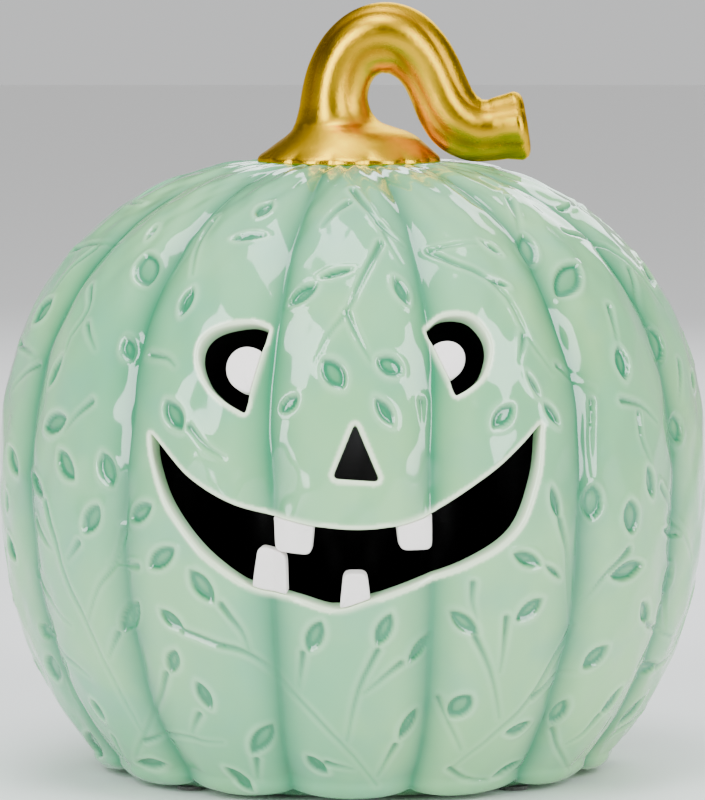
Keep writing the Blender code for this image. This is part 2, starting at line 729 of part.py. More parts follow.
def build_switch():
    """The slide switch above its slot and the knob that reaches through it."""
    length, depth, height = SWITCH_SIZE
    floor = FLANGE_TOP_Z + GAP
    body = box("switch_body", (-length / 2, SWITCH_Y - depth / 2, floor),
               (length / 2, SWITCH_Y + depth / 2, floor + height), "chip")
    centre = -KNOB_TRAVEL / 2
    half_x, half_y = KNOB_SIZE[0] / 2, KNOB_SIZE[1] / 2
    knob = box("switch_knob", (centre - half_x, SWITCH_Y - half_y, CASE_BOTTOM_Z - KNOB_DROP),
               (centre + half_x, SWITCH_Y + half_y, floor - GAP), "knob")
    bevel(put_origin(knob, (centre, SWITCH_Y, CASE_BOTTOM_Z)), 0.0003)
    return body, knob


def build_board():
    """The circuit board on the bay's roof, with its timer chip and light."""
    x, y, _ = BOARD_SIZE
    board = box("circuit_board", (-x / 2, -y / 2, BOARD_Z), (x / 2, y / 2, BOARD_TOP_Z), "board")
    chip_x, chip_y, chip_z = CHIP_SIZE
    floor = BOARD_TOP_Z + GAP
    chip = box("timer_chip", (-0.010 - chip_x, -chip_y / 2, floor),
               (-0.010, chip_y / 2, floor + chip_z), "chip")
    neck = LED_R * 0.5
    flange = LID_Z - 0.002
    dome = LID_TOP_Z + LED_RISE - LED_R
    arc = [(LED_R * math.sin(a), dome + LED_R * math.cos(a))
           for a in (math.pi / 8 * i for i in range(5))]
    arc[0] = (0, arc[0][1])
    profile = arc + [(LED_R, flange + 0.001), (LED_R + 0.0004, flange + 0.001),
                     (LED_R + 0.0004, flange), (neck, flange), (neck, floor), (0, floor)]
    led = turned("led", profile, 20, "led")
    return [board, chip, led]


def build_lid():
    """The case lid with its screw and light holes, and the screws."""
    lid = cylinder("case_lid", (0, 0, 0), CASE_R, LID_Z, LID_TOP_Z, "case", 64)
    boolean(lid, cylinder("led_hole", (0, 0, 0), LED_R + GAP, LID_Z - 0.01, LID_TOP_Z + 0.01,
                          segments=20))
    pieces = [lid]
    for i, (x, y) in enumerate(post_places()):
        hole = cylinder(f"screw_hole_{i}", (x, y, 0), SCREW_R + GAP, LID_Z - 0.01, LID_TOP_Z + 0.01)
        boolean(lid, hole)
        head = LID_TOP_Z + GAP
        end = CASE_TOP_Z - SCREW_LENGTH + GAP
        profile = [(0, head + SCREW_HEAD_T), (SCREW_HEAD_R * 0.7, head + SCREW_HEAD_T),
                   (SCREW_HEAD_R, head), (SCREW_R, head), (SCREW_R, end + SCREW_R), (0, end)]
        pieces.append(turned(f"lid_screw_{i + 1}", profile, 14, "nickel", centre=(x, y, 0)))
    return pieces


def build_dome():
    """The frosted dome over the light, open below."""
    floor = LID_TOP_Z + GAP
    inner_r = DOME_R - DOME_WALL
    straight = DOME_HEIGHT - DOME_R
    steps = 7

    def quarter(radius, rising):
        bends = [math.pi / 2 * i / steps for i in range(steps + 1)]
        points = [(radius * math.sin(a), floor + straight + radius * math.cos(a)) for a in bends]
        points[0] = (0, points[0][1])
        return points[::-1] if rising else points

    profile = quarter(DOME_R, False) + [(DOME_R, floor), (inner_r, floor)] + quarter(inner_r, True)
    return turned("light_dome", profile, 28, "dome")


def build_leads():
    """Red and black wires from the end contacts to the board."""
    made = []
    for (name, side, y), key in zip(lead_ends(), ("red", "black")):
        x = side * (BAY_X1 - GAP - PLATE_T / 2)
        pad = side * (BOARD_SIZE[0] / 2 - 0.003)
        up = BOARD_TOP_Z + 0.0022
        points = [
            (x, y, BAY_TOP_Z), (x, y, BOARD_TOP_Z + 0.0006), (x - side * 0.0009, y * 0.99, up),
            (x - side * 0.0030, y * 0.96, up + 0.0005), (pad + side * 0.001, y * 0.88, up),
            (pad, y * 0.86, BOARD_TOP_Z + 0.0009), (pad, y * 0.86, BOARD_TOP_Z + GAP),
        ]
        made.append(tube(name, points, LEAD_R, key, sides=1))
    return made


def build_light_unit():
    """Everything that leaves the pumpkin when the light unit is pulled down."""
    body, knob = build_switch()
    door = build_door()
    unit = [build_case(), body, build_dome()]
    unit += build_cells() + build_springs() + build_plates() + build_board()
    unit += build_lid() + build_leads()
    slide = add_empty("light_unit_slide", (0, 0, CASE_BOTTOM_Z))
    hang(unit + [door, knob], slide)


def main():
    """Build the whole lantern."""
    forms = build_forms()
    build_shell(forms)
    build_face(forms)
    build_stem()
    build_pads()
    build_ring()
    build_light_unit()
    bpy.context.view_layer.update()


clear_scene()
PARTS = new_collection("ceramic_pumpkin_lantern")
CUTTERS = new_collection("cutters")
main()
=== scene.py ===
"""Ceramic pumpkin lantern: the glazed shell, the gold stem and the light unit's finishes.

Every piece is made by an operator. The shell is a sheet over bearing and girth: the bearing
goes round the pumpkin from the carved face, and the girth runs down the crest curve from
the crown. Leaves, twigs and the grooves between the ribs press that sheet in and out.
"""

import math
from types import SimpleNamespace

import bmesh
import bpy
import numpy as np
from bpy.props import FloatProperty, FloatVectorProperty, IntProperty, PointerProperty
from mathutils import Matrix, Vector
from mathutils.geometry import delaunay_2d_cdt


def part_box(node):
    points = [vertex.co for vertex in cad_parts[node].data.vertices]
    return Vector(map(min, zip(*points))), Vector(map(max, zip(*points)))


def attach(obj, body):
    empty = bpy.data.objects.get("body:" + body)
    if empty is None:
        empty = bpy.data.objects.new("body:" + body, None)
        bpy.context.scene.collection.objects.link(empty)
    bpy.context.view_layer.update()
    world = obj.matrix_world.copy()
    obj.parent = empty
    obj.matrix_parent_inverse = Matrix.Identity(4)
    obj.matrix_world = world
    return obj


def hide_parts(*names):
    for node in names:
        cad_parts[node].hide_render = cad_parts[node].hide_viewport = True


bl_info = {
    "name": "Ceramic Pumpkin Lantern",
    "version": (1, 0, 0),
    "blender": (4, 5, 0),
    "location": "View3D > Sidebar > Pumpkin",
    "description": "Builds the glazed shell, stem, teeth and finishes of a pumpkin lantern",
    "category": "Add Mesh",
}

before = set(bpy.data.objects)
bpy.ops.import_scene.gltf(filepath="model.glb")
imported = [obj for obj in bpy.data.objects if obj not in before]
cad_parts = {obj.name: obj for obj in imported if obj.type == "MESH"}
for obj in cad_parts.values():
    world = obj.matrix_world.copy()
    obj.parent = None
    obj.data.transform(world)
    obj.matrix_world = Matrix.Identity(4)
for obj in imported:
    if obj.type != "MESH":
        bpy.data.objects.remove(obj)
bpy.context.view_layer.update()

# ---- the form, as the frame has it (metres)
RIBS = 14
BODY_R = 0.1014
BELLY_Z = 0.085
TOP_RISE, TOP_POWER = 0.0915, 2.37
BOTTOM_DROP, BOTTOM_POWER = 0.1083, 2.25
SEAT_Z = 0.1734
SEAT_R = 0.0265
ROOF_EXTRA = 0.0012       # how much thicker the wall is at the crown
FOOT_Z, FOOT_TURN_Z = 0.0013, 0.0063
FOOT_OUTER_R, FOOT_INNER_R = 0.070, 0.057
FOOT_FLAT = 0.0045        # from each edge of the foot ring to its flat
FOOT_FILLET = [(0, 0.0015), (0.0006, 0.0004), (0.0018, 0)]   # the ring's turn into the floor
FLOOR_UNDER_Z, FLOOR_TOP_Z = 0.008, 0.013
FLOOR_UNDER_R, FLOOR_TOP_R = 0.047, (0.050, 0.062)           # rings of points on the floor
BASE_HOLE_R = 0.036978
AIM = np.array([0.0, 0.0, BELLY_Z])
MM = 0.001

# ---- the shell's four parts, cut in grooves: name, first rib edge, ribs, columns in a rib
SHELL_PARTS = [
    ("pumpkin_front", -1.5, 3, 72),
    ("pumpkin_right", 1.5, 4, 58),
    ("pumpkin_back", 5.5, 3, 68),
    ("pumpkin_left", 8.5, 4, 58),
]
ROW_STEP = 0.00072
CROWN_ROWS = (0.0, 0.006, 0.012)   # girths of the rows under the stem
HOLLOW_ROWS, HOLLOW_TOP = 44, 0.014

# ---- the face in front view (x, z); a third value of 0 marks a sharp corner
MOUTH = [
    (-0.0552, 0.1037, 0), (-0.0440, 0.0920), (-0.0325, 0.0855), (-0.0205, 0.0824),
    (-0.0060, 0.0796), (0.0080, 0.0796), (0.0200, 0.0825), (0.0310, 0.0892),
    (0.0420, 0.0973), (0.0515, 0.1066, 0), (0.0500, 0.0925), (0.0445, 0.0785),
    (0.0330, 0.0703), (0.0175, 0.0643), (0.0050, 0.0602), (-0.0040, 0.0576),
    (-0.0150, 0.0602), (-0.0275, 0.0630), (-0.0405, 0.0723), (-0.0500, 0.0845),
    (-0.0544, 0.0960),
]
NOSE = [(0.0007, 0.1083), (-0.0055, 0.0932), (0.0075, 0.0923)]
LEFT_EYE = [
    (-0.0229, 0.1332, 0), (-0.0278, 0.1342), (-0.0361, 0.1323), (-0.0405, 0.1290),
    (-0.0417, 0.1240), (-0.0395, 0.1179), (-0.0350, 0.1135), (-0.0295, 0.1103, 0),
]
RIGHT_EYE = [
    (0.0204, 0.1332, 0), (0.0248, 0.1361), (0.0315, 0.1355), (0.0358, 0.1315),
    (0.0372, 0.1265), (0.0355, 0.1205), (0.0322, 0.1172), (0.0282, 0.1150, 0),
]
PUPILS = {"left_pupil": (-0.0283, 0.1220, 0.0061), "right_pupil": (0.0254, 0.1247, 0.0053)}
TEETH = {
    "upper_left_tooth": [(-0.0222, 0.0880), (-0.0214, 0.0729), (-0.0113, 0.0722),
                         (-0.0100, 0.0850)],
    "upper_right_tooth": [(0.0115, 0.0850), (0.0130, 0.0735), (0.0221, 0.0733),
                          (0.0220, 0.0890)],
    "lower_left_tooth": [(-0.0280, 0.0590), (-0.0260, 0.0743), (-0.0184, 0.0722),
                         (-0.0180, 0.0570)],
    "lower_right_tooth": [(-0.0038, 0.0540), (-0.0025, 0.0674), (0.0040, 0.0674),
                          (0.0055, 0.0550)],
}
JOINT = 0.00015           # open line where a tooth or a pupil meets the glaze
SUNK, SHORT = 0.00015, 0.0001      # how far a tooth or pupil ends below the wall's two faces
LOOP_STEP = 0.0005        # between two points of a cut edge
FINE_STEP = 0.0001        # the same while a tooth or pupil is fitted to its opening
INSET_STEP = 0.0004       # the same on the edge of a tooth or pupil
GRID_MARGIN = 0.00045     # from a cut edge to the nearest grid point of the glazed sheet
RIM_PALE = 0.0023         # how far pale clay shows through the glaze round a cut edge
RIM_TOP = 0.80            # how pale the glaze is at the cut edge itself
RIM_REACH = 0.008         # no pale clay is looked for beyond this
WELD = 1e-7               # points nearer than this are one
GLAZED, BLACK = 0, 1      # the shell's two materials
HOLE_ROUND, FOOT_ROUND = 0.0008, 0.0012

# ---- leaves: bearing from the face, height, tilt of the long axis (degrees), length, width
LEAVES = [
    (-83, 161, 15, 28, 1.8), (-72, 133, 57, 10, 6.4), (-71, 91, -47, 10, 5.4),
    (-74, 79, 84, 6, 3.2), (-73, 66, -50, 9, 4.5), (-66, 43, -52, 5, 4.7),
    (-68, 32, 72, 9, 6.5), (-71, 9, 47, 14, 6.0), (-50, 156, -76, 6, 1.9),
    (-44, 147, -59, 12, 7.7), (-41, 126, -60, 8, 4.7), (-58, 118, 62, 11, 4.3),
    (-55, 104, 18, 12, 6.0), (-42, 93, -67, 10, 5.8), (-51, 93, -46, 11, 5.8),
    (-61, 86, -28, 13, 4.4), (-45, 79, 57, 10, 5.6), (-39, 52, 51, 12, 5.1),
    (-54, 23, -79, 7, 4.7), (-47, 8, 4, 13, 3.9), (-23, 163, 81, 8, 4.1),
    (-23, 156, 12, 10, 3.3), (-31, 139, 83, 9, 4.1), (-29, 109, -52, 10, 5.6),
    (-35, 82, 30, 10, 5.1), (-31, 70, 34, 11, 5.3), (-24, 63, -54, 11, 5.3),
    (-30, 53, -37, 9, 3.9), (-31, 41, 65, 8, 4.5), (-26, 32, -71, 9, 4.2),
    (-17, 19, 54, 13, 5.7), (-24, 7, -55, 11, 3.7), (-3, 147, 16, 10, 2.2),
    (9, 143, -73, 10, 3.7), (-9, 142, 40, 10, 4.2), (6, 123, -30, 8, 5.6),
    (-3, 121, -56, 10, 6.1), (-10, 113, 47, 7, 3.9), (5, 111, -57, 9, 3.9),
    (5, 52, 67, 10, 4.7), (-6, 50, 66, 10, 5.0), (11, 46, 53, 11, 3.4),
    (10, 24, 66, 11, 3.7), (-7, 12, -48, 8, 3.9), (30, 153, -47, 7, 1.7),
    (28, 144, -25, 7, 1.7), (30, 117, -64, 8, 1.6), (24, 109, 42, 9, 4.7),
    (33, 109, -57, 8, 2.9), (33, 85, -73, 10, 3.0), (28, 70, -22, 10, 4.0),
    (33, 66, -34, 8, 1.8), (29, 56, 33, 10, 4.7), (18, 53, -39, 11, 4.5),
    (19, 29, 56, 9, 6.3), (32, 21, 12, 9, 4.0), (34, 8, 24, 10, 3.2),
    (40, 153, 70, 13, 5.7), (45, 144, 35, 16, 7.8), (50, 121, 86, 10, 5.1),
    (54, 88, -71, 10, 4.2), (41, 84, 87, 10, 6.6), (49, 79, -83, 10, 6.3),
    (63, 72, -12, 16, 1.9), (49, 64, 11, 14, 5.2), (56, 51, -46, 9, 4.8),
    (45, 40, 43, 10, 5.1), (54, 26, 55, 10, 4.1), (41, 24, 75, 9, 5.1),
    (65, 125, 87, 11, 6.9), (66, 101, -83, 9, 5.5), (64, 58, 57, 10, 6.7),
    (65, 32, 7, 16, 4.4),
]
# ---- twigs: points of bearing (degrees) and height (mm), thick end first
TWIGS = [
    [(-79, 149), (-70, 152), (-58, 153)], [(-68, 151), (-71, 145), (-72, 138)],
    [(-57, 141), (-54, 135), (-56, 128), (-56, 123)], [(-52, 131), (-48, 125)],
    [(-78, 123), (-68, 121)], [(-66, 119), (-71, 115), (-75, 110)],
    [(-36, 125), (-32, 124), (-30, 122)], [(-46, 111), (-49, 107), (-52, 102)],
    [(-36, 161), (-35, 155), (-32, 146)], [(-1, 165), (-5, 162), (-7, 159)],
    [(0, 168), (6, 160), (10, 150)], [(6, 160), (11, 155)],
    [(6, 155), (2, 146), (-1, 137), (-4, 131), (-6, 124)], [(-1, 137), (1, 130), (3, 124)],
    [(16, 153), (20, 154), (27, 154)],
    [(16, 153), (21, 149), (25, 146), (29, 140), (31, 129), (35, 120)],
    [(11, 114), (11, 108)], [(48, 165), (44, 161), (41, 157)], [(67, 162), (95, 161)],
    [(54, 156), (66, 153), (70, 148), (73, 140), (74, 134)], [(69, 145), (65, 136), (65, 130)],
    [(52, 136), (50, 126)], [(30, 130), (28, 123)], [(36, 122), (39, 118), (43, 115)],
    [(48, 111), (53, 109), (57, 104)], [(52, 107), (52, 100), (54, 93)],
    [(71, 119), (68, 108)],
    [(-57, 82), (-55, 74), (-53, 65), (-49, 51), (-46, 36), (-44, 18)],
    [(-62, 76), (-58, 71), (-56, 69)], [(-48, 72), (-51, 67)],
    [(-39, 76), (-41, 67), (-45, 59), (-48, 50)], [(-36, 67), (-42, 67)],
    [(-64, 60), (-60, 54), (-53, 48)], [(-26, 106), (-23, 101), (-20, 98)],
    [(-28, 50), (-22, 47), (-18, 45), (-14, 40), (-9, 31), (-2, 19), (5, 6)],
    [(-21, 58), (-18, 51), (-17, 45)], [(-8, 45), (-9, 35)],
    [(-33, 37), (-36, 29), (-43, 18), (-52, 8)], [(-45, 15), (-35, 18), (-25, 18)],
    [(-28, 26), (-31, 20)], [(-19, 13), (-20, 7)], [(-5, 13), (0, 11)],
    [(4, 46), (1, 35), (-1, 20)], [(8, 42), (5, 38), (2, 34)], [(8, 18), (5, 9)],
    [(15, 31), (17, 25), (21, 16)], [(19, 64), (19, 59), (20, 54)],
    [(20, 49), (23, 40), (27, 25)], [(25, 54), (25, 46), (25, 39)],
    [(39, 49), (35, 38), (32, 29), (26, 19), (20, 10)], [(20, 10), (24, 7), (30, 6)],
    [(33, 30), (38, 35), (43, 36)], [(41, 19), (45, 13), (54, 5)],
    [(34, 80), (36, 69), (38, 51)], [(49, 70), (43, 62), (39, 52)],
    [(42, 112), (41, 101), (41, 91)], [(58, 86), (66, 74), (73, 63)], [(65, 53), (68, 43)],
    [(58, 47), (68, 42), (79, 38)], [(-42, 47), (-45, 40)], [(-65, 42), (-57, 37), (-52, 33)],
    [(-62, 37), (-65, 24), (-62, 16)], [(-54, 15), (-56, 8)], [(52, 22), (50, 17), (47, 14)],
    [(77, 18), (69, 13), (67, 10)], [(70, 32), (76, 35)],
]
# the sprigs of each zone of the back: bearings taken from the front, and their turn
BACK_ZONES = [(-86, -34, 180), (34, 80, 180), (-86, -34, 236), (-19, 22, 86), (-10, 22, 262),
              (-34, 6, 214)]


# ------------------------------------------------------------------ sizes and colours
def length(name, description, default):
    """A length that a user may change."""
    return FloatProperty(name=name, description=description, default=default, unit="LENGTH")


def share(name, description, default):
    """A plain share between 0 and 1."""
    return FloatProperty(name=name, description=description, default=default,
                         min=0, max=1, subtype="FACTOR")


def colour(name, description, default):
    """A colour in linear values."""
    return FloatVectorProperty(name=name, description=description, default=default,
                               size=3, min=0, max=1, subtype="COLOR")


class PumpkinSizes(bpy.types.PropertyGroup):
    """Sizes of the pressed and rounded detail."""

    groove_depth: length("Groove depth", "Depth of the grooves between the ribs", 0.0036)
    groove_round: length("Groove round", "Width over which a groove's bottom is rounded", 0.0011)
    leaf_depth: length("Leaf depth", "How far a leaf's edge is pressed in", 0.00088)
    leaf_dome: length("Leaf dome", "How far a leaf's middle rises again", 0.00016)
    twig_depth: length("Twig depth", "Depth of a twig at its thick end", 0.00075)
    twig_width: length("Twig width", "Width of a twig at its thick end", 0.0019)
    swell: length("Swell", "Soft rise of the clay beside a leaf or twig", 0.00030)
    wall: length("Wall", "Thickness of the clay wall", 0.005)
    rim_round: length("Rim round", "Rounding of the cut edges of the face", 0.0010)
    tooth_round: length("Tooth round", "Rounding of the teeth and the pupils", 0.0007)
    stem_crease: share("Stem crease", "Depth of the creases along the stem", 0.085)
    stem_sides: IntProperty(name="Stem sides", description="Creases round the stem",
                            default=5, min=3, max=9)


class PumpkinColours(bpy.types.PropertyGroup):
    """Colours of the glazes and the finishes."""

    glaze: colour("Glaze", "Celadon glaze over flat clay", (0.150, 0.475, 0.235))
    glaze_deep: colour("Pooled glaze", "Glaze pooled in grooves and leaves", (0.018, 0.225, 0.100))
    glaze_thin: colour("Thin glaze", "Glaze where it runs thin over an edge", (0.46, 0.76, 0.46))
    clay: colour("Clay", "Pale clay at the cut edges", (0.74, 0.90, 0.62))
    inside: colour("Inside", "Black glaze of the hollow", (0.004, 0.005, 0.005))
    gold: colour("Gold", "Gold lustre", (0.80, 0.48, 0.0))
    # painted shade: this darker gold is laid into the stem's creases, and also on random drifts
    gold_shade_and_drift: colour("Deep gold", "Gold lustre in the creases", (0.30, 0.135, 0.0))
    bisque: colour("Bisque", "Matte white of teeth and pupils", (0.94, 0.88, 0.85))
    cell: colour("Cell wrap", "Wrap of the cells", (0.03, 0.17, 0.07))
    board: colour("Board", "Lacquer of the circuit board", (0.012, 0.12, 0.045))


def sizes():
    """The sizes as the user has them."""
    return bpy.context.scene.pumpkin_sizes


def colours():
    """The colours as the user has them, as plain triples."""
    group = bpy.context.scene.pumpkin_colours
    return SimpleNamespace(**{key: tuple(getattr(group, key)) for key in group.__annotations__})


# ------------------------------------------------------------------ the pumpkin's form
def ease(low, high, value):
    """0 below low, 1 above high, and a smooth 3t^2 - 2t^3 between them."""
    t = np.clip((value - low) / (high - low), 0, 1)
    return t * t * (3 - 2 * t)


def crest_curve(count=4000):
    """The crest curve from the crown to the foot, as (r, z).

    Above the belly it is a superellipse with the top's rise and power, below it one with
    the bottom's, and near the stem it levels out into the seat. The turn into the foot is
    a quarter of an ellipse.
    """
    low = -math.asin(((BELLY_Z - FOOT_TURN_Z) / BOTTOM_DROP) ** (BOTTOM_POWER / 2))
    angle = np.linspace(math.pi / 2, low, count)
    top = angle > 0
    power = 2 / np.where(top, TOP_POWER, BOTTOM_POWER)
    rise = np.where(top, TOP_RISE, BOTTOM_DROP) * np.sign(angle)
    r = BODY_R * np.cos(angle).clip(0) ** power
    z = BELLY_Z + rise * np.abs(np.sin(angle)) ** power
    level, soft = SEAT_Z + 0.0004, 0.0012
    over = (z - level) / soft
    z = np.where(over > -6, level - soft * np.log1p(np.exp(-over.clip(-30, 30))), z)
    bend = np.linspace(0, math.pi / 2, 60)[1:]
    r = np.concatenate([r, FOOT_OUTER_R + (r[-1] - FOOT_OUTER_R) * np.cos(bend)])
    z = np.concatenate([z, FOOT_TURN_Z - (FOOT_TURN_Z - FOOT_Z) * np.sin(bend)])
    return r, z


CREST_R, CREST_Z = crest_curve()
CREST_S = np.concatenate([[0], np.cumsum(np.hypot(np.diff(CREST_R), np.diff(CREST_Z)))])
SLOPE_R = np.gradient(CREST_R, CREST_S)
SLOPE_Z = np.gradient(CREST_Z, CREST_S)
GIRTH_END = CREST_S[-1]


def crest_radius(girth):
    """Radius of the crest curve at a girth."""
    return np.interp(girth, CREST_S, CREST_R)


def crest_at(girth):
    """Radius, height and outward normal (nr, nz) of the crest curve at a girth."""
    r, z = crest_radius(girth), np.interp(girth, CREST_S, CREST_Z)
    along_r = np.interp(girth, CREST_S, SLOPE_R)
    along_z = np.interp(girth, CREST_S, SLOPE_Z)
    size = np.hypot(along_r, along_z)
    return r, z, -along_z / size, along_r / size


def girth_of(height):
    """The girth at a height on the side of the pumpkin."""
    side = slice(int(np.argmax(CREST_R > SEAT_R)), None)
    return np.interp(-np.asarray(height), -CREST_Z[side], CREST_S[side])


def sway(bearing, girth):
    """How far a groove wanders from its even place, in radians: two slow waves."""
    return (0.0062 * np.sin(52 * girth + 9 * bearing + 0.7)
            + 0.0035 * np.sin(113 * girth - 4 * bearing + 2.0)) * ease(0.02, 0.06, girth)


def groove_press(bearing, girth):
    """0 on a crest and 1 in a groove.

    One less the half-power of the cosine of seven times the bearing, with the cusp rounded
    by a small amount added under the root.
    """
    phase = RIBS / 2 * (bearing - sway(bearing, girth))
    radius = crest_radius(girth).clip(0.01)
    cusp = (RIBS / 2 * sizes().groove_round / 2 / radius) ** 2
    return 1 - (np.cos(phase) ** 2 + cusp) ** 0.275


def ripple(bearing, girth):
    """The unevenness of a form finished by hand: three crossing waves, 9 to 21 mm long."""
    return (0.00020 * np.sin(31 * bearing + 150 * girth + 1.0 + 1.5 * np.sin(40 * girth))
            + 0.00010 * np.sin(47 * bearing - 260 * girth + 2.1)
            + 0.00004 * np.sin(67 * bearing + 430 * girth + 0.4))


def sprigs():
    """All leaves and twigs: those of the front, and the same kinds turned to the back."""
    leaves = [np.array(leaf, float) for leaf in LEAVES]
    twigs = [np.array(twig, float) for twig in TWIGS]
    spots = [(leaf[0], leaf[1]) for leaf in leaves]
    for first, last, turn in BACK_ZONES:
        for leaf in LEAVES:
            place = (leaf[0] + turn, leaf[1])
            apart = [math.hypot((place[0] - b) * 1.6, place[1] - h) for b, h in spots]
            if first <= leaf[0] <= last and min(apart) > 9:
                leaves.append(np.array([place[0], *leaf[1:]], float))
                spots.append(place)
        for twig in TWIGS:
            if all(first <= bearing <= last for bearing, _ in twig):
                twigs.append(np.array(twig, float) + (turn, 0))
    return leaves, twigs


LEAF_LIST, TWIG_LIST = sprigs()


def wrapped(angle):
    """An angle brought to between -pi and pi."""
    return (angle + math.pi) % (2 * math.pi) - math.pi


def leaf_field(bearing, girth):
    """Signed distance to the nearest leaf, its half width, and how low in it a point lies.

    A leaf is the lens where two circles of one radius meet. Its distance is that to the
    nearer arc, or to its tip where the tip is nearer.
    """
    near = np.full(bearing.shape, 0.02)
    half = np.full(bearing.shape, 0.002)
    low = np.zeros(bearing.shape)
    radius = crest_radius(girth)
    for turn, height, tilt, long_mm, wide_mm in LEAF_LIST:
        down = girth - girth_of(height * MM)
        across = wrapped(bearing - math.radians(turn)) * radius
        spot = np.flatnonzero((np.abs(down) < 0.018) & (np.abs(across) < 0.018))
        if not len(spot):
            continue
        c, s = math.cos(math.radians(tilt)), math.sin(math.radians(tilt))
        x, y = across[spot], -down[spot]
        along = np.abs(x * c + y * s)
        side = np.abs(y * c - x * s)
        reach, wide = long_mm * MM / 2, wide_mm * MM / 2
        arc = (reach**2 / wide + wide) / 2
        back = arc - wide
        tip = (along - reach) * back > side * reach
        distance = np.where(tip, np.hypot(side, along - reach),
                            np.hypot(side + back, along) - arc)
        closer = distance < near[spot]
        near[spot[closer]] = distance[closer]
        half[spot[closer]] = wide
        low[spot[closer]] = (-y / max(reach * abs(s) + wide * abs(c), wide))[closer]
    return near, half, low.clip(-1, 1)


def twig_field(bearing, girth):
    """Signed distance to the nearest twig's edge, and the twig's share of full width.

    A twig is a chain of straight pieces, each a distance to a segment less a half width
    that shrinks to a third at the thin end.
    """
    near = np.full(bearing.shape, 0.02)
    thick = np.ones(bearing.shape)
    radius = crest_radius(girth)
    for twig in TWIG_LIST:
        points = smooth_path(twig, 3)
        turns, heights = np.radians(points[:, 0]), points[:, 1] * MM
        downs = girth_of(heights)
        count = len(points) - 1
        for i in range(count):
            x = wrapped(bearing - turns[i]) * radius
            y = girth - downs[i]
            spot = np.flatnonzero((np.abs(x) < 0.016) & (np.abs(y) < 0.016))
            if not len(spot):
                continue
            x, y = x[spot], y[spot]
            end_x = (turns[i + 1] - turns[i]) * radius[spot]
            end_y = downs[i + 1] - downs[i]
            t = ((x * end_x + y * end_y) / (end_x**2 + end_y**2 + 1e-12)).clip(0, 1)
            size = 1 - 0.62 * (i + t) / count
            distance = (np.hypot(x - t * end_x, y - t * end_y)
                        - sizes().twig_width / 2 * size)
            closer = distance < near[spot]
            near[spot[closer]] = distance[closer]
            thick[spot[closer]] = size[closer]
    return near, thick


def smooth_path(points, steps):
    """A curve through the points, with steps to each stretch (Catmull-Rom)."""
    points = np.asarray(points, float)
    ends = np.vstack([2 * points[0] - points[1], points, 2 * points[-1] - points[-2]])
    t = np.linspace(0, 1, steps, endpoint=False)[:, None]
    made = [(2 * b + (c - a) * t + (2 * a - 5 * b + 4 * c - d) * t**2
             + (3 * b - a - 3 * c + d) * t**3) / 2
            for a, b, c, d in zip(ends, ends[1:], ends[2:], ends[3:])]
    return np.vstack(made + [points[-1:]])


# from where a leaf or twig starts to drop to where it is at full depth, beside its edge
LEAF_DROP, TWIG_DROP = (0.0003, -0.0008), (0.0004, -0.0009)
LEAF_DOME = (-0.0008, -0.0026)     # from where a leaf's floor rises to where it is highest
LEAF_FULL = 0.0024                 # half width from which a leaf has its full dome
# how much glaze pools: in a groove, in a twig, in a leaf, at a leaf's edge; and how much more
# lies in a leaf's low end and how much less on its dome
GROOVE_POOL, TWIG_POOL, LEAF_POOL, EDGE_POOL = 0.95, 0.90, 0.92, 0.45
LOW_END_POOL, DOME_POOL = 0.30, 0.34


def relief(bearing, girth):
    """How far the glazed face stands out from the crest form, and where glaze pools or thins.

    Grooves press in by the groove depth times the press. A leaf drops from its edge over
    0.8 mm and rises again to a low dome, a twig is a round-bottomed cut, and both have a
    soft swell beside them that fades over 2 mm. The whole face ripples a little.
    """
    s = sizes()
    shape = bearing.shape
    bearing, girth = bearing.ravel(), girth.ravel()
    radius = crest_radius(girth)
    press = groove_press(bearing, girth)
    depth = s.groove_depth * np.sqrt(radius / BODY_R) * (0.45 + 0.55 * ease(0.024, 0.05, girth))
    under_stem = ease(0.021, 0.028, radius + (girth > 0.1))
    fade = under_stem * (1 - ease(GIRTH_END - 0.006, GIRTH_END - 0.002, girth))
    rise = -depth * press * under_stem + ripple(bearing, girth) * fade
    leaf, half, low = leaf_field(bearing, girth)
    twig, thick = twig_field(bearing, girth)
    plain = 1 - 0.75 * ease(0.55, 0.85, press)
    inside = ease(*LEAF_DROP, leaf)
    dome = ease(*LEAF_DOME, leaf) * np.minimum(1, half / LEAF_FULL)
    rise -= (s.leaf_depth * inside - s.leaf_dome * dome) * fade * plain
    beside = np.exp(-((leaf - 0.0007) / 0.0009) ** 2)
    cut = (ease(*TWIG_DROP, twig) * thick) * (1 - inside)
    along = np.exp(-((twig - 0.0007) / 0.0008) ** 2) * thick
    rise -= s.twig_depth * cut * fade * plain
    swell = np.maximum(beside, along * 0.8) * (1 - inside) * (1 - cut)
    rise += s.swell * swell * fade
    groove_pool = np.clip((press - 0.20) / 0.60, 0, 1) ** 1.2
    leaf_pool = inside * (LEAF_POOL + LOW_END_POOL * low - DOME_POOL * dome)
    edge_pool = np.exp(-((leaf + 0.0009) / 0.0006) ** 2) * EDGE_POOL
    pool = np.maximum(groove_pool * GROOVE_POOL, leaf_pool + edge_pool * inside)
    pool = np.maximum(pool, cut * TWIG_POOL)
    thin = swell * (1 - 0.6 * groove_pool)
    return [field.reshape(shape) for field in (rise, np.clip(pool, 0, 1), thin)]


def outer_point(bearing, girth, rise):
    """The glazed face: the crest form turned to the bearing, moved out along its normal."""
    r, z, nr, nz = crest_at(girth)
    r, z = r + nr * rise, z + nz * rise
    return np.stack([r * np.sin(bearing), -r * np.cos(bearing), z], -1)


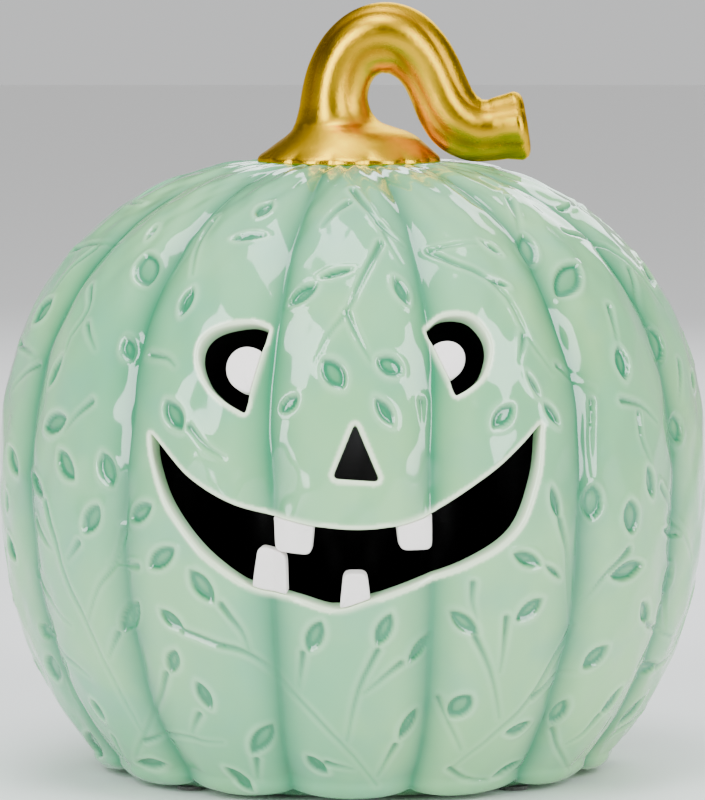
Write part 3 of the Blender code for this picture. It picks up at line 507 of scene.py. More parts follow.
def wall_share(girth):
    """The part of the way to the middle at which the hollow starts, along a ray."""
    r, z, nr, nz = crest_at(girth)
    far = np.hypot(r, z - BELLY_Z)
    square = (nr * r + nz * (z - BELLY_Z)) / far
    thick = sizes().wall + ROOF_EXTRA * ease(0.03, 0.01, r + (girth > 0.1))
    return thick / (far * square.clip(0.55))


def inner_point(bearing, girth, rise):
    """The hollow's face: the crest form drawn in along rays, with grooves half as deep."""
    outer = outer_point(bearing, girth, rise * 0.55)
    return AIM + (outer - AIM) * (1 - wall_share(girth))[..., None]


# ------------------------------------------------------------------ outlines of the face
def smooth_outline(points, steps=6):
    """A closed curve through the points, straight into and out of those marked sharp."""
    spots = np.array([point[:2] for point in points])
    sharp = np.array([len(point) == 3 for point in points])[:, None]
    after, before = np.roll(spots, -1, 0), np.roll(spots, 1, 0)
    beyond = np.roll(spots, -2, 0)
    leave = np.where(sharp, after - spots, (after - before) / 2)
    arrive = np.where(np.roll(sharp, -1, 0), after - spots, (beyond - spots) / 2)
    t = (np.arange(steps) / steps)[None, :, None]
    here, leave, arrive, after = (a[:, None] for a in (spots, leave, arrive, after))
    made = (here * (2 * t**3 - 3 * t**2 + 1) + leave * (t**3 - 2 * t**2 + t)
            + after * (3 * t**2 - 2 * t**3) + arrive * (t**3 - t**2))
    return made.reshape(-1, 2)


def even_loop(points, step=LOOP_STEP, soften=0):
    """A closed loop with points an even step apart, its corners softened by averaging."""
    closed = np.vstack([points, points[:1]])
    run = np.concatenate([[0], np.cumsum(np.hypot(*np.diff(closed, axis=0).T))])
    at = np.linspace(0, run[-1], max(12, round(run[-1] / step)), endpoint=False)
    loop = np.stack([np.interp(at, run, closed[:, k]) for k in (0, 1)], -1)
    for _ in range(soften):
        loop = (np.roll(loop, 1, 0) + 2 * loop + np.roll(loop, -1, 0)) / 4
    return loop


def turned_left(loop):
    """The loop with its inside on the left of the way along it."""
    x, y = loop.T
    area = np.sum(x * np.roll(y, -1) - np.roll(x, -1) * y)
    return loop if area > 0 else loop[::-1]


def outward(loop):
    """Unit normals that point out of a loop turned left."""
    along = np.roll(loop, -1, 0) - np.roll(loop, 1, 0)
    along /= np.linalg.norm(along, axis=1, keepdims=True)
    return np.stack([along[:, 1], -along[:, 0]], -1)


def inside_loop(points, loop):
    """Which points lie in a closed loop: a line to the right crosses it an odd number of times."""
    x, y = points[:, :1], points[:, 1:]
    ax, ay = loop.T
    bx, by = np.roll(loop, -1, 0).T
    spans = (ay > y) != (by > y)
    rise = np.where(by == ay, 1e-12, by - ay)
    return (spans & (x < (bx - ax) * (y - ay) / rise + ax)).sum(1) % 2 == 1


def loop_distance(points, loop):
    """Distance from each point to a closed loop."""
    way = np.roll(loop, -1, 0) - loop
    away = points[:, None] - loop[None]
    t = ((away * way).sum(-1) / ((way**2).sum(-1) + 1e-18)).clip(0, 1)
    return np.linalg.norm(away - t[..., None] * way, axis=-1).min(1)


def common(first, second):
    """The outline of what two closed outlines share, which cross each other twice.

    It walks the part of the first that lies in the second, then the part of the second
    that lies in the first.
    """
    first, second = turned_left(first), turned_left(second)
    made = []
    for walk, other in ((first, second), (second, first)):
        held = inside_loop(walk, other)
        start = int(np.flatnonzero(held & ~np.roll(held, 1))[0])
        made.append(np.roll(walk, -start, 0)[: held.sum()])
    return np.vstack(made)


def rounded_corners(points, radius, steps=5):
    """A polygon whose corners are quadratic arcs that start a radius from each corner."""
    spots = np.asarray(points, float)
    made = []
    for before, corner, after in zip(np.roll(spots, 1, 0), spots, np.roll(spots, -1, 0)):
        start = corner + (before - corner) / np.linalg.norm(before - corner) * radius
        end = corner + (after - corner) / np.linalg.norm(after - corner) * radius
        t = np.linspace(0, 1, steps)[:, None]
        made.append(start * (1 - t) ** 2 + 2 * corner * t * (1 - t) + end * t**2)
    return np.vstack(made)


def on_sheet(front_view):
    """Front-view points laid on the form: (bearing times body radius, girth)."""
    x, z = front_view.T
    girth = girth_of(z)
    radius = crest_radius(girth)
    return np.stack([np.arcsin(x / radius) * BODY_R, girth], -1)


def face_loops():
    """The four cut outlines on the sheet, each turned left and evenly stepped."""
    flat = [(smooth_outline(MOUTH), 2), (rounded_corners(NOSE, 0.0016), 1),
            (smooth_outline(LEFT_EYE), 2), (smooth_outline(RIGHT_EYE), 2)]
    return [turned_left(even_loop(on_sheet(points), soften=soften)) for points, soften in flat]


def inset_loops():
    """The outlines of the teeth and pupils on the sheet, kept inside their openings.

    A pupil is a circle that ends at its eye's straight side, and a tooth ends at the lip.
    """
    mouth, _, left_eye, right_eye = face_loops()
    turn = np.linspace(0, 2 * math.pi, 360, endpoint=False)
    pieces = [(name, np.stack([x + r * np.cos(turn), z + r * np.sin(turn)], -1),
               left_eye if name.startswith("left") else right_eye)
              for name, (x, z, r) in PUPILS.items()]
    pieces += [(name, even_loop(rounded_corners(points, 0.0019), FINE_STEP), mouth)
               for name, points in TEETH.items()]
    made = {}
    for name, points, opening in pieces:
        opening = even_loop(opening, FINE_STEP)
        shared = common(on_sheet(points), opening - outward(opening) * JOINT)
        made[name] = turned_left(even_loop(shared, INSET_STEP, soften=2))
    return made


# ------------------------------------------------------------------ making meshes
def make_piece(name, points, faces, materials, looks=None, fields=None, sharp=None):
    """A welded mesh that rides on the pumpkin, its faces turned outwards.

    looks gives each face's material, fields give numbers for each point, and edges sharper
    than the sharp angle in degrees aren't smoothed.
    """
    mesh = bpy.data.meshes.new(name)
    mesh.from_pydata(points.reshape(-1, 3), [], faces)
    for key, values in (fields or {}).items():
        mesh.attributes.new(key, "FLOAT", "POINT").data.foreach_set(
            "value", np.ascontiguousarray(values, np.float32).ravel())
    if looks is not None:
        mesh.polygons.foreach_set("material_index", np.array(looks, np.int32))
    for material in materials:
        mesh.materials.append(material)
    bm = bmesh.new()
    bm.from_mesh(mesh)
    bmesh.ops.remove_doubles(bm, verts=bm.verts, dist=WELD)
    bmesh.ops.recalc_face_normals(bm, faces=bm.faces)
    bm.to_mesh(mesh)
    bm.free()
    mesh.shade_smooth()
    if sharp:
        mesh.set_sharp_from_angle(angle=math.radians(sharp))
    made = bpy.data.objects.new(name, mesh)
    bpy.context.scene.collection.objects.link(made)
    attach(made, "pumpkin")
    return made


def grid_faces(rows, columns, close_columns=False):
    """Quads of a grid whose points run along a row first."""
    i = np.arange(rows - 1)[:, None]
    j = np.arange(columns if close_columns else columns - 1)[None]
    a, b = i * columns, (i + 1) * columns
    after = (j + 1) % columns
    return np.stack(np.broadcast_arrays(a + j, a + after, b + after, b + j), -1).reshape(-1, 4)


def corner(r, z, radius):
    """Points of a rounded corner, from beside it to above it."""
    return [(r + radius * (1 - math.sin(a)), z + radius * (1 - math.cos(a)))
            for a in np.linspace(0, math.pi / 2, 4)]


def shell_grid(first_rib, ribs, per_rib):
    """One part of the shell as a closed section carried round part of the pumpkin.

    The rows go down the outside, round the foot, under the floor, through the base hole,
    over the floor and up the hollow to the roof. The columns are bearings.
    """
    s = sizes()
    rib = 2 * math.pi / RIBS
    bearing = np.linspace(first_rib * rib, (first_rib + ribs) * rib, ribs * per_rib + 1)
    rows = round((GIRTH_END - CROWN_ROWS[-1]) / ROW_STEP)
    girth = np.concatenate([CROWN_ROWS[:-1], np.linspace(CROWN_ROWS[-1], GIRTH_END, rows)])
    around = bearing[None] + sway(bearing[None], girth[:, None])
    down = np.broadcast_to(girth[:, None], around.shape)
    rise, pool, thin = relief(around, down)
    section = np.array(
        [(FOOT_OUTER_R - FOOT_FLAT, FOOT_Z), (FOOT_INNER_R + FOOT_FLAT, FOOT_Z)]
        + corner(FOOT_INNER_R, FOOT_Z, FOOT_ROUND)
        + [(FOOT_INNER_R - into, FLOOR_UNDER_Z - below) for into, below in FOOT_FILLET]
        + [(FLOOR_UNDER_R, FLOOR_UNDER_Z)]
        + corner(BASE_HOLE_R, FLOOR_UNDER_Z, HOLE_ROUND)
        + [(r, FLOOR_TOP_Z + FLOOR_TOP_Z - z)
           for r, z in corner(BASE_HOLE_R, FLOOR_TOP_Z, HOLE_ROUND)[::-1]]
        + [(r, FLOOR_TOP_Z) for r in FLOOR_TOP_R])
    floor = np.stack([section[:, :1] * np.sin(bearing), -section[:, :1] * np.cos(bearing),
                      section[:, 1:] + 0 * bearing], -1)
    level = CREST_Z - (CREST_Z - BELLY_Z) * wall_share(CREST_S)
    lowest = CREST_S[np.flatnonzero(level > FLOOR_TOP_Z + 0.0006)[-1]]
    up = np.concatenate([np.linspace(lowest, HOLLOW_TOP, HOLLOW_ROWS), [0.0]])
    around_in = bearing[None] + sway(bearing[None], up[:, None])
    up = np.broadcast_to(up[:, None], around_in.shape)
    rise_in = -s.groove_depth * groove_press(around_in, up) * ease(0.02, 0.05, up)
    hollow = inner_point(around_in, up, rise_in)
    return {
        "points": np.concatenate([outer_point(around, down, rise), floor, hollow]),
        "pool": pool, "thin": thin, "glazed": (around, down), "black": (around_in, up),
    }


def rim_radius(loop, insets):
    """The rounding of the cut edge: full along free edges, small where a piece fits in."""
    near = np.min([loop_distance(loop, inset) for inset in insets], axis=0)
    return sizes().rim_round * (0.18 + 0.82 * ease(0.0005, 0.0030, near))


def rim_strip(loop, radius):
    """The wall of one opening: rounded from the glazed face, straight in, rounded inside.

    Each row is the outline moved out by a distance and in along the rays by a depth. It
    gives its outer and inner outlines on the sheet, its points and how pale each is.
    """
    s = sizes()
    bend = np.linspace(0, math.pi / 2, 7)
    inner_round = 0.6 * radius
    rows = [(radius * (1 - math.sin(a)), radius * (1 - math.cos(a))) for a in bend]
    rows += [(0 * radius, radius + (s.wall - radius - inner_round) * t) for t in (0.33, 0.66, 1)]
    rows += [(inner_round * (1 - math.cos(a)), s.wall - inner_round * (1 - math.sin(a)))
             for a in bend[2::2]]
    normal = outward(loop)
    sheet = [loop + normal * out[:, None] for out, _ in rows]
    points = []
    for spots, (_, deep) in zip(sheet, rows):
        bearing, girth = spots[:, 0] / BODY_R, spots[:, 1]
        rise = relief(bearing, girth)[0]
        outer = outer_point(bearing, girth, rise)
        smooth = -s.groove_depth * groove_press(bearing, girth)
        inner = inner_point(bearing, girth, smooth)
        points.append(outer + (inner - outer) * (deep / s.wall)[:, None])
    depth = np.array([deep for _, deep in rows]) / s.wall
    return sheet[0], sheet[-1], np.array(points), 1.0 - 0.55 * ease(0.24, 0.62, depth)


def open_sheet(spots, rows, columns, loops, margin):
    """Faces of a grid with the loops cut out, and triangles that join it to them.

    A grid point is dropped when it is in a loop or nearer to it than the margin, which is
    over half a grid step, so that no grid line crosses a loop. What is left open between
    the grid and the loops is filled with triangles.
    """
    quads = grid_faces(rows, columns)
    if not loops:
        return quads, np.zeros((0, 3), int)
    gone = np.zeros(len(spots), bool)
    for loop in loops:
        low, high = loop.min(0) - 2 * margin, loop.max(0) + 2 * margin
        close = np.flatnonzero(((spots > low) & (spots < high)).all(1))
        hit = inside_loop(spots[close], loop)
        rest = close[~hit]
        gone[close[hit]] = True
        gone[rest[loop_distance(spots[rest], loop) < margin]] = True
    kept = ~gone[quads].any(1)
    edges = np.concatenate([quads[:, [k, (k + 1) % 4]] for k in range(4)])
    side_kept = np.concatenate([kept] * 4)
    key = np.sort(edges, 1)
    key = key[:, 0].astype(np.int64) * len(spots) + key[:, 1]
    held, free = np.unique(key[side_kept]), np.unique(key[~side_kept])
    border = np.intersect1d(held, free)
    border = np.stack([border // len(spots), border % len(spots)], -1)
    used = np.unique(border)
    lines = np.searchsorted(used, border).tolist()
    names = np.concatenate([used, len(spots) + np.arange(sum(len(loop) for loop in loops))])
    verts = np.concatenate([spots[used], *loops])
    total = len(used)
    for loop in loops:
        ring = np.arange(len(loop))
        lines += np.stack([total + ring, total + np.roll(ring, -1)], -1).tolist()
        total += len(loop)
    found = delaunay_2d_cdt([Vector(v) for v in verts * 1000], lines, [], 2, 1e-7)
    if len(found[0]) != len(verts):
        raise RuntimeError("the cut edges of the face cross the sheet's points")
    source = np.array([origin[0] for origin in found[3]])
    corners = source[np.array(found[2])]
    middles = verts[corners].mean(1)
    solid = ~np.any([inside_loop(middles, loop) for loop in loops], axis=0)
    return quads[kept], names[corners[solid]]


def build_shell_part(name, first_rib, ribs, per_rib, materials, loops=(), insets=()):
    """Make one closed part of the shell, with the face cut through it where it has loops."""
    grid = shell_grid(first_rib, ribs, per_rib)
    rows, columns = grid["points"].shape[:2]
    outside, hollow = len(grid["glazed"][0]), len(grid["black"][0])
    hollow_start = (rows - hollow) * columns
    points = [grid["points"].reshape(-1, 3)]
    fields = {key: np.zeros(rows * columns) for key in ("pool", "thin", "edge")}
    for key in ("pool", "thin"):
        fields[key][: outside * columns] = grid[key].ravel()
    faces, looks = [], []

    def add(found, look):
        faces.extend(np.asarray(found).tolist())
        looks.extend([look] * len(found))

    # the walls of the openings; each leaves an outline in the glazed and the black sheet
    outlines, rings = ([], []), ([], [])
    start = rows * columns
    for loop in loops:
        front, back, strip, pale = rim_strip(loop, rim_radius(loop, insets))
        deep, count = strip.shape[:2]
        add(grid_faces(deep, count, close_columns=True) + start, GLAZED)
        points.append(strip.reshape(-1, 3))
        for key, values in (("pool", 0 * pale), ("thin", 0 * pale), ("edge", pale)):
            fields[key] = np.concatenate([fields[key], values.ravel()])
        for side, outline, row in ((GLAZED, front, 0), (BLACK, back, deep - 1)):
            outlines[side].append(outline)
            rings[side].append(np.arange(count) + start + row * count)
        start += deep * count
    row_gap = np.abs(np.diff(grid["black"][1][:, 0])[:-1]).max()
    for side, key, first, margin in ((GLAZED, "glazed", 0, GRID_MARGIN),
                                     (BLACK, "black", hollow_start, 0.56 * row_gap)):
        bearing, girth = grid[key]
        sheet = np.stack([bearing * BODY_R, girth], -1).reshape(-1, 2)
        quads, fill = open_sheet(sheet, len(girth), columns, outlines[side], margin)
        table = np.concatenate([np.arange(len(sheet)) + first, *rings[side]])
        add(table[quads], side)
        add(table[fill], side)
        for loop in loops if side == GLAZED else ():
            close = np.flatnonzero(((sheet > loop.min(0) - RIM_REACH)
                                    & (sheet < loop.max(0) + RIM_REACH)).all(1))
            pale = RIM_TOP - RIM_TOP * ease(0.0002, RIM_PALE, loop_distance(sheet[close], loop))
            fields["edge"][close] = np.maximum(fields["edge"][close], pale)
    add(grid_faces(rows - outside - hollow + 2, columns) + (outside - 1) * columns, GLAZED)
    ring = np.arange(rows) * columns
    add([ring, ring + columns - 1], GLAZED)
    made = make_piece(name, np.concatenate(points), faces, materials, looks, fields, sharp=60)
    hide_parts("pumpkin_shell")
    return made


# ------------------------------------------------------------------ teeth and pupils
def wall_block(name, loop, material):
    """A piece of the wall with rounded edges, on an outline that closes at both its middles.

    The rows run from the middle of the glazed side out to the edge, round it, in along the
    rays, round the inner edge and back to the middle.
    """
    s = sizes()
    middle = loop.mean(0)
    radius = s.tooth_round
    bend = np.linspace(0, math.pi / 2, 6)
    front, back = SUNK, s.wall - SHORT
    rows = [(share_out, radius, front) for share_out in (0.0, 0.3, 0.6, 0.85)]
    rows += [(1.0, radius * (1 - math.sin(a)), front + radius * (1 - math.cos(a))) for a in bend]
    rows += [(1.0, 0.0, front + radius + (back - front - 2 * radius) * t) for t in (0.33, 0.66)]
    rows += [(1.0, radius * (1 - math.cos(a)), back - radius * (1 - math.sin(a))) for a in bend]
    rows += [(share_out, radius, back) for share_out in (0.6, 0.3, 0.0)]
    normal = outward(loop)
    points = []
    for share_out, inset, deep in rows:
        edge = loop - normal * inset
        spots = middle + (edge - middle) * share_out
        bearing, girth = spots[:, 0] / BODY_R, spots[:, 1]
        rise = ripple(bearing, girth) - s.groove_depth * groove_press(bearing, girth)
        outer = outer_point(bearing, girth, rise)
        inner = inner_point(bearing, girth, rise)
        points.append(outer + (inner - outer) * (deep / s.wall))
    faces = grid_faces(len(points), len(loop), close_columns=True).tolist()
    made = make_piece(name + "_bisque", np.array(points), faces, [material])
    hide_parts(name)
    return made


# ------------------------------------------------------------------ stem
STEM_X = -0.0024
STEM_SPINE = [            # x, height above the seat, radius; the first ones are the foot
    (-0.0010, 0.0003, 0.0262), (-0.0010, 0.0014, 0.0257), (-0.0008, 0.0030, 0.0238),
    (-0.0006, 0.0050, 0.0213), (-0.0004, 0.0069, 0.0189), (-0.0010, 0.0085, 0.0166),
    (-0.0026, 0.0098, 0.0143), (-0.0042, 0.0114, 0.0121), (-0.0050, 0.0147, 0.0105),
    (-0.0049, 0.0190, 0.0098), (-0.0035, 0.0246, 0.0096), (-0.0004, 0.0300, 0.0097),
    (0.0042, 0.0336, 0.0101), (0.0092, 0.0348, 0.0103), (0.0142, 0.0337, 0.0100),
    (0.0187, 0.0303, 0.0093), (0.0220, 0.0258, 0.0088), (0.0244, 0.0206, 0.0087),
    (0.0266, 0.0155, 0.0090), (0.0297, 0.0112, 0.0094), (0.0342, 0.0087, 0.0093),
    (0.0392, 0.0085, 0.0090), (0.0432, 0.0093, 0.0094), (0.0470, 0.0099, 0.0101),
]
STEM_TIP = [              # in from the edge of the tip, ahead of the spine's end
    (0.0002, 0.0009), (0.0008, 0.0018), (0.0019, 0.0025), (0.0034, 0.0028), (0.0052, 0.0025),
    (0.0070, 0.0019),
]
STEM_DIMPLE = 0.0016      # the middle of the tip, ahead of the spine's end
STEM_SINK = 0.0002        # how far the foot's edge goes below the seat


def stem_surface():
    """The stem as a ring carried along its spine.

    The ring's radius is the spine's, less a crease in each of its sides that deepens up the
    stalk, and its foot has a lobe over each rib. It ends in a rounded edge with a shallow
    dimple.
    """
    s = sizes()
    spine = smooth_path(STEM_SPINE, 11)
    centre = np.stack([spine[:, 0], 0 * spine[:, 0], SEAT_Z + spine[:, 1]], -1)
    radius = spine[:, 2]
    tangent = np.gradient(centre, axis=0)
    tangent /= np.linalg.norm(tangent, axis=1, keepdims=True)
    run = np.concatenate([[0], np.cumsum(np.linalg.norm(np.diff(centre, axis=0), axis=1))])
    upright = ease(0.0150, 0.0225, run)[:, None]
    tangent = tangent * upright + np.array([0, 0, 1.0]) * (1 - upright)
    tangent /= np.linalg.norm(tangent, axis=1, keepdims=True)
    turn = np.linspace(0, 2 * math.pi, 180, endpoint=False)[None]
    twist = 0.55 + 4.0 * run[:, None] + 0.16 * np.sin(run[:, None] * 130)
    crease = 1 - np.sqrt(np.cos(s.stem_sides / 2 * (turn - twist)) ** 2 + 0.012)
    grown_in = ease(0.004, 0.022, run)[:, None]
    wave = (0.012 * np.sin(3 * turn + 60 * run[:, None])
            + 0.01 * np.sin(2 * turn - 95 * run[:, None]))
    ring = radius[:, None] * (1 - s.stem_crease * crease * grown_in + wave * grown_in)
    bearing = np.arctan2(np.cos(turn), -np.sin(turn))
    lobe = np.abs(np.cos(RIBS / 2 * bearing)) ** 0.8
    foot = (1 - ease(0.0, 0.0050, spine[:, 1]))[:, None]
    ring = ring * (1 + foot * (0.055 * lobe - 0.040))
    side = np.cross(np.array([0, 1.0, 0]), tangent)
    out = side[:, None] * np.cos(turn)[..., None] + np.array([0, 1.0, 0]) * np.sin(turn)[..., None]
    body = centre[:, None] + out * ring[..., None]
    skirt = body[:1].copy()
    skirt[..., 2] = SEAT_Z - 0.0010 * (1 - lobe[0])[None, :] - STEM_SINK
    under = skirt * [0.9, 0.9, 1] + [STEM_X * 0.1, 0, 0]
    skirt = skirt * [0.982, 0.982, 1] + [STEM_X * 0.018, 0, 0]
    end, tip_ring, way = centre[-1], ring[-1], tangent[-1]
    caps = [end + way * ahead + out[-1] * (tip_ring - inset)[:, None]
            for inset, ahead in STEM_TIP]
    caps.append(np.repeat((end + way * STEM_DIMPLE)[None], turn.size, 0))
    base = np.repeat(np.array([[STEM_X, 0, SEAT_Z - STEM_SINK]]), turn.size, 0)
    points = np.concatenate([base[None], under, skirt, body, np.array(caps)])
    # how much painted shade the gold gets at each point: the depth of its crease, none under the
    # foot, a quarter on the tip
    hollow = np.concatenate([np.zeros((3, turn.size)), crease * grown_in,
                             np.full((len(caps), turn.size), 0.25)])
    return points, hollow


# ------------------------------------------------------------------ shader helpers
class Wire:
    """A shader value: Python operators on it add Math nodes."""

    def __init__(self, shader, socket):
        self.shader, self.socket = shader, socket

    def _math(self, operation, first, second=0.0):
        return self.shader.node("ShaderNodeMath", {"operation": operation},
                                {0: first, 1: second})

    def __add__(self, other):
        return self._math("ADD", self, other)

    def __sub__(self, other):
        return self._math("SUBTRACT", self, other)

    def __rsub__(self, other):
        return self._math("SUBTRACT", other, self)

    def __mul__(self, other):
        return self._math("MULTIPLY", self, other)

    __radd__ = __add__
    __rmul__ = __mul__

    def __pow__(self, other):
        return self._math("POWER", self, other)

    def clipped(self):
        """The value kept between 0 and 1."""
        return self.shader.node("ShaderNodeClamp", {}, {"Value": self})

    def between(self, low, high):
        """0 below low and 1 above high, smoothly."""
        return self.shader.node("ShaderNodeMapRange", {"interpolation_type": "SMOOTHSTEP"},
                                {"Value": self, "From Min": low, "From Max": high})


class Shader:
    """A material with one Principled shader."""

    def __init__(self, name, **constants):
        self.material = bpy.data.materials.new(name)
        self.material.use_nodes = True
        self.tree = self.material.node_tree
        self.surface = self.tree.nodes["Principled BSDF"]
        for key, value in constants.items():
            self.set(key.replace("_", " "), value)

    def node(self, kind, settings, inputs, output=0):
        """Add a node: settings first, then the values or links of its sockets."""
        made = self.tree.nodes.new(kind)
        for key, value in settings.items():
            if key == "stops":
                self.set_stops(made.color_ramp, value)
            else:
                setattr(made, key, value)
        for key, value in inputs.items():
            self.feed(made.inputs[key], value)
        return Wire(self, made.outputs[output])

    @staticmethod
    def set_stops(ramp, stops):
        """Place a ramp's stops."""
        while len(ramp.elements) < len(stops):
            ramp.elements.new(0.5)
        for element, (place, value) in zip(ramp.elements, stops):
            element.position = place
            element.color = (*value, 1)

    def feed(self, socket, value):
        """Link a wire to a socket, or set its value."""
        if isinstance(value, Wire):
            self.tree.links.new(value.socket, socket)
        elif isinstance(value, tuple) and len(value) < len(socket.default_value):
            socket.default_value = (*value, 1)
        else:
            socket.default_value = value

    def set(self, key, value):
        """Feed one of the shader's own sockets."""
        self.feed(self.surface.inputs[key], value)

    def place(self):
        """Object coordinates."""
        return self.node("ShaderNodeTexCoord", {}, {}, "Object")

    def field(self, name):
        """A number stored on the mesh."""
        return self.node("ShaderNodeAttribute", {"attribute_name": name}, {}, "Fac")

    def noise(self, scale, detail=3.0, rough=0.5, vector=None):
        """Fine or broad cloudiness between 0 and 1."""
        return self.node("ShaderNodeTexNoise", {},
                         {"Vector": vector or self.place(), "Scale": scale, "Detail": detail,
                          "Roughness": rough})

    def stretched(self, x, y, z):
        """Object coordinates scaled along each axis."""
        return self.node("ShaderNodeMapping", {}, {"Vector": self.place(), "Scale": (x, y, z)})

    def mix(self, amount, first, second, blend="MIX"):
        """A colour between two colours."""
        made = self.tree.nodes.new("ShaderNodeMix")
        made.data_type = "RGBA"
        made.blend_type = blend
        for socket, value in ((made.inputs["Factor"], amount), (made.inputs[6], first),
                              (made.inputs[7], second)):
            self.feed(socket, value)
        return Wire(self, made.outputs[2])

    def finished(self, colour, roughness, height, distance, strength):
        """The material, fed with its colour, its roughness and its fine unevenness."""
        self.set("Base Color", colour)
        self.set("Roughness", roughness)
        self.set("Normal", self.node("ShaderNodeBump", {},
                                     {"Height": height, "Distance": distance,
                                      "Strength": strength}))
        return self.material


# tones of the celadon glaze: where it is warmer (in random drifts and towards the right side),
# where it is cooler, fine specks
GLAZE_WARM, GLAZE_COOL = (0.300, 0.600, 0.250), (0.120, 0.410, 0.270)
GLAZE_SPECK = (0.20, 0.42, 0.30)


def glaze_material():
    """Celadon glaze: paler where it runs thin, greener where it pools, glassy all over."""
    c = colours()
    made = Shader("celadon_glaze", IOR=1.52, Coat_Weight=0.55, Coat_Roughness=0.03)
    pool, thin, edge = made.field("pool"), made.field("thin"), made.field("edge")
    cloud = made.noise(17.0, 3.0)
    patch = made.noise(55.0, 2.0)
    speck = made.noise(900.0, 2.0)
    side = made.node("ShaderNodeSeparateXYZ", {}, {0: made.place()}, "X")
    # the glaze turns warmer and lighter towards the right side (+X), as well as in random drifts
    warm = (cloud.between(0.36, 0.66) * 0.60 + side.between(-0.05, 0.11) * 0.35).clipped()
    base = made.mix(warm, c.glaze, GLAZE_WARM)
    base = made.mix(patch.between(0.45, 0.72) * 0.35, base, GLAZE_COOL)
    base = made.mix(speck.between(0.66, 0.80) * 0.05, base, GLAZE_SPECK)
    base = made.mix((thin * 0.42).clipped(), base, c.glaze_thin)
    pooled = (pool * (0.85 + 0.35 * patch)).clipped()
    base = made.mix(pooled, base, c.glaze_deep)
    base = made.mix((edge ** 1.3).clipped(), base, c.clay)
    height = made.noise(26.0, 1.0) + 0.04 * made.noise(420.0, 1.0)
    return made.finished(base, 0.075 + 0.05 * patch, height, 0.00045, 0.35)


def inside_material():
    """Glossy black glaze of the hollow."""
    made = Shader("black_inner_glaze", IOR=1.5)
    drift = made.noise(40.0, 3.0)
    base = made.mix(drift, colours().inside, (0.010, 0.012, 0.011))
    return made.finished(base, 0.14 + 0.10 * drift, drift, 0.0004, 0.3)


def gold_material():
    """Gold lustre over glaze: bright on the crests, with painted shade in the creases, random
    deeper drifts and a fine grain.
    """
    c = colours()
    made = Shader("gold_lustre", Metallic=1.0, Specular_Tint=(1.0, 0.80, 0.28))
    crease = made.field("crease")
    brushed = made.noise(170.0, 4.0, 0.6)
    grain = made.noise(2600.0, 2.0, 0.7)
    cloud = made.noise(60.0, 3.0)
    # painted shade: the creases (and a quarter of it on the tip) turn to the shaded gold, with
    # random drifts on top
    base = made.mix((crease * 0.75 + 0.35 * cloud).clipped(), c.gold, c.gold_shade_and_drift)
    base = made.mix(grain.between(0.58, 0.74) * 0.35, base, (1.0, 0.72, 0.02))
    base = made.mix(cloud.between(0.58, 0.78) * 0.30, base, (0.50, 0.30, 0.0))
    return made.finished(base, 0.12 + 0.16 * brushed + 0.10 * crease,
                         brushed * 0.4 + grain * 0.5, 0.00024, 0.7)


def bisque_material():
    """Matte white of the teeth and pupils, with a fine tooth and faint stains."""
    made = Shader("matte_white_bisque", IOR=1.45)
    cloud = made.noise(110.0, 4.0)
    grain = made.noise(1900.0, 3.0)
    base = made.mix(cloud.between(0.4, 0.8) * 0.30, colours().bisque, (0.72, 0.69, 0.64))
    base = made.mix(grain.between(0.60, 0.78) * 0.12, base, (0.60, 0.56, 0.52))
    return made.finished(base, 0.62 + 0.2 * grain, grain + 0.6 * cloud, 0.00018, 0.5)


def moulded(name, base, roughness, grain_scale=2200.0, grain_depth=0.00005):
    """Moulded plastic or rubber with a spark-eroded grain and slight wear."""
    made = Shader(name, IOR=1.46)
    grain = made.noise(grain_scale, 3.0, 0.6)
    cloud = made.noise(70.0, 3.0)
    lighter = tuple(min(1.0, v * 1.5 + 0.012) for v in base)
    return made.finished(made.mix(cloud.between(0.35, 0.75) * 0.5, base, lighter),
                         roughness + 0.12 * grain - 0.06 * cloud, grain, grain_depth, 0.6)


def felt_material():
    """Pressed dark felt: short crossing fibres."""
    made = Shader("dark_felt", Sheen_Weight=0.4, Sheen_Roughness=0.5)
    fibre = made.noise(1500.0, 5.0, 0.75, made.stretched(1.0, 0.25, 1.0))
    cross = made.noise(1500.0, 5.0, 0.75, made.stretched(0.25, 1.0, 1.0))
    base = made.mix((fibre * cross * 2.2).clipped(), (0.035, 0.034, 0.032), (0.16, 0.155, 0.145))
    return made.finished(base, 0.96, fibre + cross, 0.0004, 0.9)


def nickel_material():
    """Nickel-plated spring steel, faintly drawn and tarnished."""
    made = Shader("nickel_plate", Metallic=1.0)
    drawn = made.noise(1400.0, 3.0, 0.6, made.stretched(1.0, 1.0, 0.12))
    tarnish = made.noise(160.0, 4.0)
    base = made.mix(tarnish.between(0.5, 0.85) * 0.6, (0.66, 0.64, 0.60), (0.46, 0.41, 0.33))
    return made.finished(base, 0.20 + 0.2 * drawn + 0.1 * tarnish, drawn, 0.00005, 0.5)


def cell_material(low_x, high_x):
    """A plain wrapped cell: a printed band at one end, its seam and bare metal ends."""
    made = Shader("wrapped_cell", IOR=1.5)
    x = made.node("ShaderNodeSeparateXYZ", {}, {0: made.place()}, "X")
    span = (x - low_x) * (1 / (high_x - low_x))
    band = span.between(0.700, 0.706) * (1 - span.between(0.955, 0.962))
    ends = (1 - span.between(0.012, 0.018)) + span.between(0.962, 0.968)
    scuff = made.noise(380.0, 4.0)
    base = made.mix(band, colours().cell, (0.72, 0.53, 0.16))
    base = made.mix(scuff.between(0.60, 0.75) * 0.2, base, (0.35, 0.38, 0.35))
    base = made.mix(ends.clipped(), base, (0.62, 0.60, 0.57))
    made.set("Metallic", (ends + 0.35 * band).clipped())
    return made.finished(base, 0.24 + 0.2 * scuff, scuff, 0.00006, 0.5)


